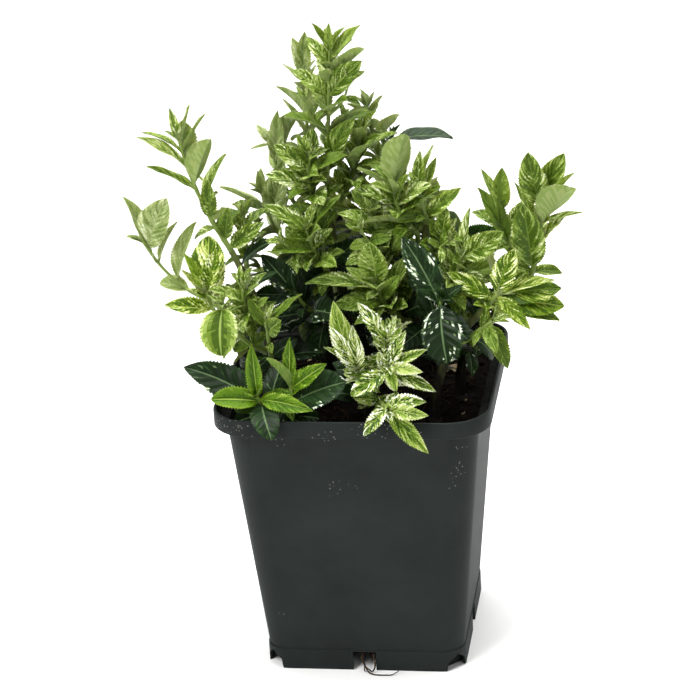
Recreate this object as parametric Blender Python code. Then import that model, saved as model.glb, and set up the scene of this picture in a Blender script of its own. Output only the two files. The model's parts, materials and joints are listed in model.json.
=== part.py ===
"""A young variegated wintercreeper euonymus in its square nursery pot.

Blender 4.5 script, metres, +Z up. The origin is on the ground under the middle of the pot, and the
photo's front of the pot faces -Y. Lengths below are in millimetres and MM turns them into metres.

The pot stands on its skirt and holds the root ball. Woody stems rise from the root ball, each from
a flat cut, and leafy shoots grow from the stems' tips and sides. A shoot is one twig with pairs of
opposite leaves, each pair turned a quarter round from the last, and with short side twigs.
"""

import math
from random import Random

import bmesh
import bpy
from mathutils import Matrix, Vector
from mathutils.bvhtree import BVHTree

MM = 0.001
UP = Vector((0, 0, 1))
FRONT = Vector((0, -1, 0))
GAP = 0.3  # between neighbouring solids

# Pot, a square one with round corners; a half is from the axis to a flat side
POT_HEIGHT = 95.2
RIM_HALF = 45.0
RIM_CORNER = 14.0
RIM_BAND = 5.6
RIM_ROUND = 0.5
WALL = 1.0
WALL_TOP_HALF = 41.1
WALL_TOP_CORNER = 11.0
WALL_FOOT_HALF = 33.0
WALL_FOOT_CORNER = 7.5
CREASE_HEIGHT = 7.6
CREASE_DEPTH = 0.4
SKIRT_HALF = 33.3
SKIRT_CORNER = 7.5
FLOOR_TOP = 7.0
CORNER_STEPS = 5
SLOT_WIDTH = 7.7
SLOT_HEIGHT = 6.9
CUT_BELOW = 1.0  # how far a cutter runs past what it cuts
SLOT_CUT_DEPTH = 6.0
HOLE_FOOT = 3.0
HOLE_DEPTH = 6.0
NOTCH_HALF_WIDTH = 4.0
NOTCH_SIDE_HEIGHT = 3.4
NOTCH_HEIGHT = 5.8
NOTCH_TOP_SHARE = 0.85
NOTCH_CUT_DEPTH = 8.0
WEB_REACH = 24.0

# Root ball
SOIL_TOP = 84.0
SOIL_CLEARANCE = 0.35

# Growth rule
FOOT_RISE = 1.5  # how far a stem runs straight up from its flat cut
AXIS_STEPS = 5
TWIG_FOOT_RADIUS = 0.85
TWIG_TIP_RADIUS = 0.42
TWIG_SIDES = 3
BARE_SHARE = 0.22
SPREAD_LOW = 64
SPREAD_HIGH = 20
LEAF_ASPECT = 0.4
LEAF_FOLD = 28  # of a young blade's halves, up from its midrib, in degrees
OLD_FLATNESS = 0.5  # how much of its fold a leaf has lost when it is old
LEAF_THICKNESS_SHARE = 1 / 45
STATIONS = (0.34, 0.68)
SMALL_STATIONS = (0.48,)
SMALL_LEAF = 13.5
SIDE_TWIG_SHARE = 0.85
LEAF_CLEARANCE = 0.3
RIM_CLEARANCE = 0.7
CROWN_REACH = (76.5, 52.5, 211.8)  # no leaf goes beyond, sideways, to front or back, and up
BACK_OF_CROWN = 15  # leaves further back than this face the back
# How a leaf that doesn't fit is tried again: further turn, further spread, scale
TRIES = (
    (0, 0, 1),
    (18, 0, 1),
    (-18, 8, 1),
    (30, -12, 0.9),
    (-32, 14, 0.85),
    (8, 26, 0.75),
    (-10, -22, 0.7),
)
# How far a single leaf's tip moves towards the photo's place when it doesn't fit, in turn
SINGLE_SHIFTS = (0, 1.5, -1.5, 3, -3, 4.5, -4.5, 6, -6)
SIGHT = Vector((0.15, -0.92, 0.37))

# name: foot x, y; tip x, y, z; foot radius; tip radius
STEMS = {
    "stem_centre": ((-5, 3), (-10.5, 5, 150), 2.3, 1.15),
    "stem_left": ((-27, -13), (-40.5, -7, 139), 2.2, 1.0),
    "stem_front_left": ((-21, -27), (-27, -36, 96), 1.9, 1.2),
    "stem_front": ((4, -19), (9, -22, 104), 1.9, 1.2),
    "stem_right": ((17, -4), (23, -1, 146), 2.1, 1.0),
    "stem_low_right": ((25, -17), (42, -14, 122), 1.9, 1.0),
    "stem_far_right": ((31, 3), (54, -4, 124), 2.0, 1.0),
    "stem_back_left": ((-14, 19), (-17, 19, 142), 2.1, 1.0),
    "stem_back_right": ((10, 21), (7, 20, 150), 2.1, 1.0),
}

# name: stem, share of the stem where it starts (1 is the tip), tip of its twig x, y, z, how far its
# middle sags, pairs of leaves, length of its longest leaf, turn of its lowest pair in degrees, old
# pairs at its foot, side twigs, colour, seed
SHOOTS = {
    "leader": ("stem_centre", 1, (-7, 8, 202), 0, 8, 16, 20, 0, 3, "fresh", 1),
    "behind_leader": ("stem_back_left", 1, (-18, 22, 190), 1, 6, 14, 60, 0, 2, "pale", 2),
    "back_left_high": ("stem_back_left", 0.88, (-29.5, 14, 169.5), 2, 3, 14, 0, 0, 1, "pale", 3),
    "back_left_low": ("stem_back_left", 0.66, (-34, 18, 150.5), 4, 4, 15, 0, 1, 1, "pale", 4),
    "left_long": ("stem_left", 1, (-55.5, -5, 176), 2, 1, 12, 10, 0, 1, "fresh", 5),
    "left_inner": ("stem_left", 0.8, (-37.5, 2, 148), 1, 4, 13, 30, 0, 1, "fresh", 6),
    "left_low": ("stem_left", 0.6, (-70, -6, 142), 6, 0, 14, 0, 0, 0, "pale", 7),
    "left_cream": ("stem_left", 0.45, (-47.5, -18, 129), 4, 2, 13, 0, 0, 1, "gold", 8),
    "left_middle": ("stem_left", 0.52, (-35, -20, 131), 3, 4, 14, 30, 0, 1, "fresh", 39),
    "left_foot": ("stem_left", 0.25, (-27.5, -22, 120), 2, 2, 13, 50, 1, 0, "fresh", 9),
    "round_leaf": ("stem_left", 0.36, (-40.5, -28, 128.5), 3, 1, 11, 0, 0, 0, "fresh", 10),
    "front_left_whorl": ("stem_front_left", 1, (-29, -39, 101), 0, 1, 14, 2, 0, 0, "lime", 11),
    "front_left_second": ("stem_front_left", 0.6, (-18.5, -36, 105), 2, 2, 13, 40, 1, 0, "lime", 12),
    "front_cream_left": ("stem_front", 0.6, (2.5, -30, 107), 1, 2, 11, 0, 0, 0, "cream", 43),
    "front_cream_high": ("stem_front", 1, (12, -27, 115), 0, 3, 13, 15, 0, 1, "cream", 13),
    "front_cream_right": ("stem_front", 0.8, (13, -35, 110), 1, 2, 12, 70, 0, 0, "cream", 44),
    "front_cream_low": ("stem_front", 0.3, (14, -46, 100.5), -1, 1, 13, 30, 0, 0, "cream", 14),
    "centre_low": ("stem_right", 0.42, (7, -13, 130), 2, 5, 18, 20, 1, 1, "fresh", 15),
    "centre_whorl": ("stem_centre", 0.58, (-15, -9, 147), 2, 5, 17, 35, 1, 2, "fresh", 16),
    "centre_upper": ("stem_centre", 0.75, (-14, -1, 169), 2, 7, 17.5, 15, 0, 1, "fresh", 40),
    "centre_foot": ("stem_centre", 0.4, (-20, -8, 125), 3, 4, 17, 20, 2, 0, "deep", 41),
    "centre_high": ("stem_centre", 0.85, (1, 9, 173), 2, 7, 17, 0, 0, 2, "fresh", 37),
    "right_inner": ("stem_right", 1, (21, -1, 157), 0, 2, 13, 25, 0, 1, "fresh", 17),
    "right_broad": ("stem_right", 0.76, (13, -3, 160), 2, 5, 16, 10, 0, 1, "fresh", 18),
    "right_side": ("stem_right", 0.84, (28, -3, 142), 1, 3, 13, 50, 0, 1, "fresh", 19),
    "right_mid": ("stem_right", 0.6, (6, -5, 151), 2, 6, 17.5, 70, 0, 2, "fresh", 20),
    "right_front": ("stem_right", 0.5, (35, -11, 139), 3, 5, 16, 10, 1, 1, "fresh", 38),
    "dark_right": ("stem_right", 0.38, (29, -20, 127), 2, 3, 15, 80, 2, 0, "deep", 21),
    "right_centre": ("stem_low_right", 0.8, (34, -7, 135), 2, 5, 16, 0, 1, 0, "fresh", 42),
    "right_low": ("stem_low_right", 1, (46.5, -15, 127), 0, 1, 12, 45, 0, 0, "gold", 22),
    "right_over_rim": ("stem_low_right", 0.6, (45, -20, 120), 0, 2, 14, 20, 1, 0, "fresh", 23),
    "far_right_inner": ("stem_far_right", 0.72, (47.5, -2, 152), 3, 4, 14, 20, 0, 1, "fresh", 24),
    "far_right": ("stem_far_right", 1, (60, -8, 155), 2, 3, 13, 10, 0, 0, "fresh", 25),
    "back_right_high": ("stem_back_right", 1, (2, 21, 179), 0, 6, 13, 20, 0, 2, "pale", 26),
    "back_right_dark": ("stem_back_right", 0.85, (9, 25, 167), 2, 2, 14, 30, 2, 0, "deep", 27),
    "back_right_low": ("stem_back_right", 0.55, (29, 25, 130), 3, 3, 16, 60, 2, 0, "deep", 28),
    "back_a": ("stem_back_left", 0.4, (-30, 37, 118), 4, 3, 18, 10, 1, 1, "fresh", 29),
    "back_b": ("stem_back_left", 0.22, (-12, 41, 107), 3, 3, 18, 40, 1, 0, "cream", 30),
    "back_c": ("stem_back_right", 0.3, (13, 41, 110), 3, 3, 18, 25, 1, 1, "fresh", 31),
    "back_d": ("stem_back_right", 0.42, (33, 36, 117), 4, 3, 18, 60, 1, 0, "cream", 32),
    "back_e": ("stem_back_right", 0.7, (18, 31, 142), 3, 5, 18, 0, 0, 1, "fresh", 33),
    "back_f": ("stem_back_left", 0.55, (-12, 34, 138), 3, 5, 18, 35, 0, 1, "fresh", 34),
    "right_back": ("stem_far_right", 0.4, (49, 24, 120), 3, 4, 14, 0, 0, 0, "fresh", 35),
    "left_back": ("stem_left", 0.34, (-51, 13, 112), 4, 4, 16, 20, 1, 0, "pale", 36),
}

# The leaves that give each shoot its shape, seen from the front, by shoot: share of its twig, leaf tip
# x, y, z, width over length, turn to the front (below 0 the underside shows), bend in degrees, age
# from 0 to 1
SINGLE_LEAVES = {
    "leader": (
        (0.98, (-12.5, 7, 211.5), 0.3, 0.3, 12, 0),
        (0.98, (-6.5, 6, 211.5), 0.3, 0.6, 8, 0),
        (0.93, (3.5, 7, 210.5), 0.36, 0.4, 14, 0),
        (0.8, (4.5, 6, 203), 0.56, -0.7, 14, 0.1),
        (0.7, (4, 4, 199.5), 0.46, 0.7, 20, 0.4),
        (0.5, (5, 5, 183.5), 0.3, -0.3, 20, 0.2),
        (0.28, (1, 2, 181), 0.42, 0.7, 20, 0.3),
    ),
    "behind_leader": (
        (0.98, (-17, 21, 205), 0.38, 0.7, 12, 0),
        (0.97, (-21.5, 21, 203.5), 0.38, 0.6, 14, 0),
        (0.93, (-25.5, 22, 194), 0.22, 0.3, 12, 0),
        (0.55, (-25.5, 20, 182.5), 0.24, 0.2, 16, 0.1),
    ),
    "back_left_high": (
        (0.8, (-20, 13, 181), 0.5, -0.4, 14, 0.2),
        (0.8, (-26, 13, 180.5), 0.34, 0.7, 12, 0.1),
        (0.97, (-36.5, 14, 167), 0.25, 0.4, 14, 0),
        (0.97, (-32.5, 14, 171.5), 0.3, 0.5, 12, 0),
        (0.95, (-31, 14, 175), 0.25, 0.4, 10, 0),
    ),
    "back_left_low": (
        (0.8, (-48.5, 18, 153), 0.32, -0.2, 20, 0.2),
        (0.95, (-35, 17, 159), 0.36, 0.7, 12, 0.2),
        (0.7, (-25.5, 16, 163), 0.4, 0.7, 14, 0.2),
    ),
    "left_long": (
        (0.98, (-58, -5, 187.5), 0.3, 0.5, 12, 0),
        (0.96, (-51.5, -4, 188), 0.2, 0, 8, 0),
        (0.92, (-46.5, -4, 185), 0.2, 0, 8, 0),
        (0.9, (-67.5, -6, 179.5), 0.22, 0.1, 36, 0),
        (0.78, (-69.5, -6, 178), 0.26, 0.3, 30, 0.1),
        (0.8, (-54, -8, 184.5), 0.58, -0.85, 10, 0.2),
        (0.62, (-45, -7, 177.5), 0.58, -0.85, 14, 0.2),
        (0.58, (-67, -6, 168), 0.22, 0.35, 26, 0.1),
        (0.42, (-40.5, -5, 172), 0.28, 0.3, 34, 0.1),
        (0.3, (-46, -9, 164.5), 0.4, 0.7, 16, 0.3),
        (0.28, (-38.5, -9, 153.5), 0.56, -0.8, 16, 0.1),
        (0.1, (-40, -9, 155), 0.44, 0.7, 16, 0.5),
        (0.02, (-28.5, -8, 149.5), 0.42, 0.7, 18, 0.4),
    ),
    "left_low": (
        (0.9, (-75.5, -6, 158), 0.32, 0.3, 16, 0.1),
        (0.93, (-60, -8, 157.5), 0.52, 0.7, 14, 0.1),
        (0.82, (-57.5, -8, 150), 0.22, 0.3, 16, 0.1),
        (0.62, (-51.5, -7, 149.5), 0.34, 0.3, 24, 0.2),
        (0.98, (-76, -6, 144), 0.4, 0.3, 16, 0.1),
        (0.5, (-65.5, -8, 129), 0.6, 0.5, 20, 0.2),
    ),
    "left_cream": (
        (0.97, (-54.5, -17, 142.5), 0.27, 0.5, 18, 0),
        (0.93, (-55.5, -19, 137.5), 0.26, 0.5, 16, 0),
        (0.98, (-43, -18, 144), 0.46, 0.8, 18, 0),
        (0.85, (-46.5, -13, 147), 0.56, 0.7, 16, 0.6),
        (0.8, (-34, -17, 134), 0.26, -0.3, 18, 0.2),
        (0.75, (-61.5, -21, 125.5), 0.44, 0.5, 18, 0.2),
        (0.85, (-53.5, -21, 131.5), 0.3, 0.4, 14, 0.1),
    ),
    "left_foot": (
        (0.95, (-15, -24, 131), 0.22, 0.5, 14, 0.2),
        (0.93, (-33.5, -22, 129), 0.36, 0.6, 16, 0.3),
        (0.8, (-22, -26, 122.5), 0.7, 0.8, 20, 0.7),
    ),
    "round_leaf": (
        (0.97, (-40, -37, 114), 0.8, 0.9, 45, 0.4),
    ),
    "front_left_whorl": (
        (0.9, (-29, -42, 121), 0.3, 0.8, 14, 0.1),
        (0.6, (-43.5, -43, 102), 0.54, 0.6, 36, 0.1),
        (0.8, (-9.5, -47, 100), 0.3, 0.8, 20, 0.1),
        (0.35, (-23, -50, 91), 0.56, 0.3, 75, 1),
        (0.2, (-53.5, -35, 110), 0.42, 0.5, 22, 1),
    ),
    "front_left_second": (
        (0.95, (-17.5, -38, 121.5), 0.28, 0.8, 10, 0.1),
        (0.85, (-5.5, -40, 113.5), 0.38, 0.7, 16, 0.2),
        (0.9, (-25, -40, 115.5), 0.42, -0.7, 14, 0.4),
        (0.3, (0, -37, 106), 0.6, 0.6, 20, 1),
    ),
    "front_cream_left": (
        (0.9, (-5, -26, 129.5), 0.34, 0.6, 14, 0.2),
        (0.95, (-5.5, -32, 123), 0.36, 0.8, 16, 0),
        (0.8, (-8, -32, 116), 0.28, 0.4, 16, 0),
        (0.98, (1.5, -31, 123), 0.34, 0.8, 12, 0),
        (0.6, (-3, -34, 103.5), 0.34, 0.3, 18, 0),
    ),
    "front_cream_high": (
        (0.97, (2.5, -26, 129), 0.36, 0.6, 16, 0.1),
        (0.9, (8, -33, 118), 0.4, 0.7, 14, 0),
        (0.98, (15, -24, 124), 0.34, 0.5, 14, 0.2),
    ),
    "front_cream_right": (
        (0.98, (25, -40, 110.5), 0.34, 0.8, 18, 0),
        (0.97, (19, -32, 122), 0.36, 0.8, 14, 0.1),
        (0.8, (28.5, -36, 102), 0.3, 0.7, 18, 0.1),
        (0.9, (26, -34, 116), 0.3, 0.6, 14, 0.1),
        (0.97, (16.5, -42, 104.5), 0.44, 0.9, 18, 0),
        (0.8, (1, -39, 101.5), 0.52, 0.7, 30, 0),
    ),
    "front_cream_low": (
        (0.95, (6, -50, 92.5), 0.42, 0.8, 16, 0.1),
        (0.98, (27.5, -50, 100), 0.36, 0.8, 16, 0.1),
        (0.85, (26.5, -46, 103), 0.42, 0.5, 16, 0),
        (0.93, (27, -50.5, 87), 0.32, 0.8, 16, 0.2),
    ),
    "centre_low": (
        (0.92, (-16, -15, 131), 0.3, 0.3, 25, 0.3),
        (0.97, (6, -16, 145.5), 0.62, 0.9, 14, 0.6),
    ),
    "centre_high": ((0.3, (-7.5, 6, 163), 0.5, 0.7, 14, 0.3),),
    "centre_foot": (
        (0.97, (-34, -8, 124.5), 0.5, 0.6, 20, 1),
        (0.8, (-31.5, -4, 137), 0.45, 0.6, 20, 1),
    ),
    "centre_upper": (
        (0.55, (-8.5, 3, 163), 0.4, 0.6, 14, 0.3),
        (0.35, (-3.5, 3, 158.5), 0.4, 0.6, 14, 0.4),
        (0.4, (-14, 6, 160), 0.36, 0.6, 14, 0.4),
    ),
    "centre_whorl": (
        (0.95, (-29.5, -9, 156), 0.34, 0.5, 18, 0.3),
        (0.97, (-3.5, -9, 158.5), 0.3, 0.4, 18, 0.2),
    ),
    "right_broad": (
        (0.97, (17.5, -6, 178.5), 0.56, -0.85, 10, 0.2),
        (0.3, (3, -9, 149.5), 0.46, -0.8, 20, 0.2),
    ),
    "right_inner": (
        (0.97, (22, -3, 172), 0.32, 0.8, 10, 0.1),
        (0.93, (26, 0, 173), 0.22, 0.2, 12, 0),
        (0.8, (27.5, -2, 170), 0.28, 0.5, 12, 0),
        (0.5, (1.5, -4, 167), 0.2, -0.5, 12, 0.1),
        (0.2, (35, -2, 159), 0.4, 0.7, 16, 0),
    ),
    "right_side": ((0.9, (30, -4, 153), 0.5, 0.8, 12, 0.5),),
    "right_front": (
        (0.9, (38, -10, 155), 0.26, 0.3, 18, 0.1),
        (0.98, (49, -14, 148), 0.5, 0.8, 15, 0.2),
    ),
    "dark_right": (
        (0.95, (31, -28, 108), 0.66, 0.7, 40, 1),
        (0.9, (16, -12, 146), 0.42, 0.5, 25, 1),
    ),
    "right_low": (
        (0.97, (40.5, -13, 147.5), 0.28, -0.3, 22, 0.1),
        (0.98, (52.5, -15, 143), 0.48, 0.7, 16, 0.2),
        (0.95, (65, -14, 132), 0.28, 0.4, 16, 0.2),
        (0.9, (67, -10, 127.5), 0.46, 0.6, 20, 0.8),
        (0.85, (68, -12, 122), 0.46, 0.6, 20, 0.8),
        (0.7, (66.5, -13, 117.5), 0.38, 0.5, 20, 0.7),
        (0.95, (57, -18, 116), 0.34, 0.6, 20, 0.1),
        (0.6, (30, -15, 135), 0.38, 0.5, 18, 0.3),
    ),
    "right_over_rim": (
        (0.55, (39, -25, 113), 0.38, 0.7, 30, 0.5),
        (0.75, (47, -27, 111.5), 0.44, 0.7, 30, 0.6),
        (0.9, (50, -22, 104), 0.4, 0.4, 34, 0.8),
    ),
    "far_right_inner": (
        (0.97, (48, -4, 166.5), 0.44, 0.7, 14, 0.1),
        (0.9, (41.5, -4, 166.5), 0.24, 0.3, 14, 0),
        (0.6, (40, -5, 160), 0.3, 0.4, 18, 0.1),
    ),
    "far_right": (
        (0.98, (57, -12, 174), 0.5, 0.8, 12, 0.2),
        (0.96, (69, -12, 174), 0.48, 0.7, 14, 0),
        (0.8, (70.5, -18, 164.5), 0.58, -0.8, 14, 0.1),
        (0.95, (72, -10, 167), 0.26, 0.3, 14, 0),
        (0.7, (52, -8, 163), 0.22, 0.4, 14, 0.1),
        (0.25, (54.5, -7, 155), 0.5, 0.7, 14, 0.3),
        (0.8, (74, -12, 154), 0.22, 0.3, 16, 0.1),
        (0.6, (69, -14, 153.5), 0.34, 0.5, 18, 0.4),
    ),
    "back_right_dark": ((0.96, (30, 25, 167), 0.5, 0.2, 20, 1),),
    "back_right_low": ((0.9, (46.5, 21, 134), 0.6, 0.75, 20, 1),),
}

COLOURS = {
    "fresh": (0.20, 0.33, 0.07),
    "pale": (0.36, 0.45, 0.22),
    "cream": (0.60, 0.66, 0.36),
    "gold": (0.46, 0.55, 0.20),
    "lime": (0.22, 0.45, 0.03),
    "deep": (0.02, 0.06, 0.03),
}


class Leaf:
    """One leaf's frame and sizes, in millimetres: where it starts, which way it runs and faces."""

    def __init__(self, root, along, face, length, aspect, bend, age, colour):
        self.root = root
        self.along = along.normalized()
        self.face = (face - self.along * face.dot(self.along)).normalized()
        self.side = self.along.cross(self.face)
        self.length = length
        self.half_width = length * aspect / 2
        self.bend = bend
        self.age = age
        self.colour = colour

    def midrib(self, share):
        """A point of the midrib, which is an arc that bends away from the face."""
        angle = max(self.bend, 0.01)
        forward = math.sin(angle * share) / angle
        back = (1 - math.cos(angle * share)) / angle
        return self.root + (self.along * forward - self.face * back) * self.length

    def facing(self, share):
        return self.face * math.cos(self.bend * share) + self.along * math.sin(self.bend * share)

    def point(self, share, across, lift=0.0):
        """A point of the blade: across runs from -1 at one margin to 1 at the other."""
        reach = self.half_width * blade_outline(share) * across
        fold = math.radians(LEAF_FOLD * (1 - OLD_FLATNESS * self.age))
        facing = self.facing(share)
        return (
            self.midrib(share)
            + self.side * reach * math.cos(fold)
            + facing * (abs(reach) * math.sin(fold) + lift)
        )

    def stations(self):
        return SMALL_STATIONS if self.length < SMALL_LEAF else STATIONS

    def solid(self, grow=0.0):
        """Points and faces of the closed blade, or of one that is larger all round by grow."""
        depth = max(self.length * LEAF_THICKNESS_SHARE, 0.3) + grow
        widen = 1 + grow / self.half_width
        points = [self.root]
        for share in self.stations():
            points += [self.point(share, -widen, grow), self.point(share, widen, grow)]
            points.append(self.point(share, 0, -depth))
        points.append(self.point(1, 0))
        faces = [(0, 1 + (i + 1) % 3, 1 + i) for i in range(3)]
        for ring in range(1, 3 * len(self.stations()) - 3, 3):
            for i in range(3):
                follow = (i + 1) % 3
                faces.append((ring + i, ring + follow, ring + 3 + follow, ring + 3 + i))
        last = len(points) - 4
        faces += [(last + i, last + (i + 1) % 3, last + 3) for i in range(3)]
        return points, faces


def blade_outline(share):
    """Half the blade's width at a share of its length, against its widest."""
    rise, fall = 0.8, 1.0
    widest = rise / (rise + fall)
    return (share / widest) ** rise * ((1 - share) / (1 - widest)) ** fall


def arc_points(start, middle, end, steps):
    """Points of a quadratic curve."""
    shares = [i / steps for i in range(steps + 1)]
    return [start * (1 - t) ** 2 + middle * 2 * t * (1 - t) + end * t * t for t in shares]


def along_line(points, share):
    """A point of an evenly stepped line and the line's direction there."""
    place = min(max(share, 0), 1) * (len(points) - 1)
    step = min(int(place), len(points) - 2)
    run = points[step + 1] - points[step]
    return points[step] + run * (place - step), run.normalized()


def stem_line(name):
    """A stem's axis above its upright foot."""
    foot, tip = STEMS[name][:2]
    start = Vector((foot[0], foot[1], SOIL_TOP + GAP + FOOT_RISE))
    end = Vector(tip)
    middle = Vector((foot[0], foot[1], start.z + 0.55 * (end.z - start.z)))
    return arc_points(start, middle, end, AXIS_STEPS)


def stem_radius(name, share):
    """A stem's radius: an even taper and a short flare at its foot."""
    foot_radius, tip_radius = STEMS[name][2:]
    flare = 0.45 * math.exp(-share * 14)
    return (foot_radius + (tip_radius - foot_radius) * share) * (1 + flare)


def sagging_arc(start, end, sag):
    """A curve whose middle lies lower than its chord by sag, or further out where it stands upright."""
    chord = (end - start).normalized()
    down = -UP + chord * chord.z
    if down.length < 0.35:
        outward = Vector((start.x, start.y, 0))
        down = outward - chord * chord.dot(outward)
    middle = (start + end) / 2 + down.normalized() * sag * 2
    return arc_points(start, middle, end, AXIS_STEPS)


def shoot_line(stem, share, tip, sag):
    """A shoot's twig, from clear of its stem to its tip."""
    centre, stem_way = along_line(stem_line(stem), share)
    line = sagging_arc(centre, Vector(tip), sag)
    way = (line[1] - line[0]).normalized()
    lean = way.angle(stem_way)
    if share == 1:
        clear = (GAP + TWIG_FOOT_RADIUS * math.sin(lean)) / math.cos(lean)
    else:
        clear = (stem_radius(stem, share) + GAP + TWIG_FOOT_RADIUS * abs(math.cos(lean))) / math.sin(lean)
    start = centre + way * clear
    return sagging_arc(start, Vector(tip), sag)


def across_directions(way, line):
    """Two directions across a twig, the first towards a fixed side of the whole shoot."""
    chord = line[-1] - line[0]
    fixed = Vector((1, 0, 0)) if abs(chord.normalized().z) > 0.75 else UP
    first = (fixed - way * fixed.dot(way)).normalized()
    return first, way.cross(first)


def leaf_on(line, share, turn, spread, length, age, colour, draw):
    """A leaf at a share of a twig, turned round it and spread from it by angles in degrees."""
    root, way = along_line(line, share)
    first, second = across_directions(way, line)
    turn = math.radians(turn)
    spread = math.radians(spread)
    out = first * math.cos(turn) + second * math.sin(turn)
    along = way * math.cos(spread) + out * math.sin(spread)
    along = (along - UP * 0.22 * age).normalized()
    open_side = -FRONT if root.y > BACK_OF_CROWN else FRONT
    outward = Vector((root.x, root.y, 0)).normalized()
    face = way * 0.6 + UP * 0.5 + open_side * draw.uniform(0.3, 0.9) + outward * 0.25
    bend = math.radians(draw.uniform(18, 38) + 12 * age)
    aspect = LEAF_ASPECT * draw.uniform(0.88, 1.15) * (1 + 0.25 * age)
    return Leaf(root - along * TWIG_TIP_RADIUS, along, face, length, aspect, bend, age, colour)


def single_leaf(line, share, tip, aspect, to_front, bend, age, colour):
    """A leaf whose tip lies at a given place."""
    root, way = along_line(line, share)
    chord = Vector(tip) - root
    bend = math.radians(bend)
    face = UP * (1 - to_front) + FRONT * to_front + UP * 0.15
    face = (face - chord * face.dot(chord) / chord.length_squared).normalized()
    length = chord.length / (2 * math.sin(bend / 2) / bend)
    along = chord.normalized() * math.cos(bend / 2) + face * math.sin(bend / 2)
    return Leaf(root - along * TWIG_TIP_RADIUS, along, face, length, aspect, bend, age, colour)


def twig_radius(share):
    return TWIG_FOOT_RADIUS + (TWIG_TIP_RADIUS - TWIG_FOOT_RADIUS) * share


def tube(line, radii, sides):
    """Points and faces of a closed tapering tube along a line."""
    points = []
    for i, centre in enumerate(line):
        way = (line[min(i + 1, len(line) - 1)] - line[max(i - 1, 0)]).normalized()
        first, second = across_directions(way, line)
        for k in range(sides):
            angle = 2 * math.pi * k / sides
            points.append(centre + (first * math.cos(angle) + second * math.sin(angle)) * radii[i])
    faces = [tuple(reversed(range(sides)))]
    for ring in range(0, sides * (len(line) - 1), sides):
        for k in range(sides):
            follow = (k + 1) % sides
            faces.append((ring + k, ring + follow, ring + sides + follow, ring + sides + k))
    last = sides * (len(line) - 1)
    faces.append(tuple(range(last, last + sides)))
    return points, faces


def twig_tube(line, scale=1.0):
    radii = [twig_radius(i / (len(line) - 1)) * scale for i in range(len(line))]
    return tube(line, radii, TWIG_SIDES)


def wall_half(height):
    """Half the width across the pot's wall, outside, at a height."""
    share = (height - CREASE_HEIGHT) / (POT_HEIGHT - RIM_BAND - CREASE_HEIGHT)
    return WALL_FOOT_HALF + (WALL_TOP_HALF - WALL_FOOT_HALF) * share


def wall_corner(height):
    """The radius of the wall's round corners, outside, at a height."""
    share = (height - CREASE_HEIGHT) / (POT_HEIGHT - RIM_BAND - CREASE_HEIGHT)
    return WALL_FOOT_CORNER + (WALL_TOP_CORNER - WALL_FOOT_CORNER) * share


def clear_of_pot(point):
    """Whether a point of the crown is clear of the pot and the root ball."""
    out = max(abs(point.x), abs(point.y))
    if out > RIM_HALF + RIM_CLEARANCE:
        return point.z > 2
    if out > wall_half(POT_HEIGHT) - WALL - RIM_CLEARANCE:
        return point.z > POT_HEIGHT + RIM_CLEARANCE
    return point.z > SOIL_TOP + GAP + RIM_CLEARANCE


def in_reach(point):
    return abs(point.x) < CROWN_REACH[0] and abs(point.y) < CROWN_REACH[1] and point.z < CROWN_REACH[2]


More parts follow.
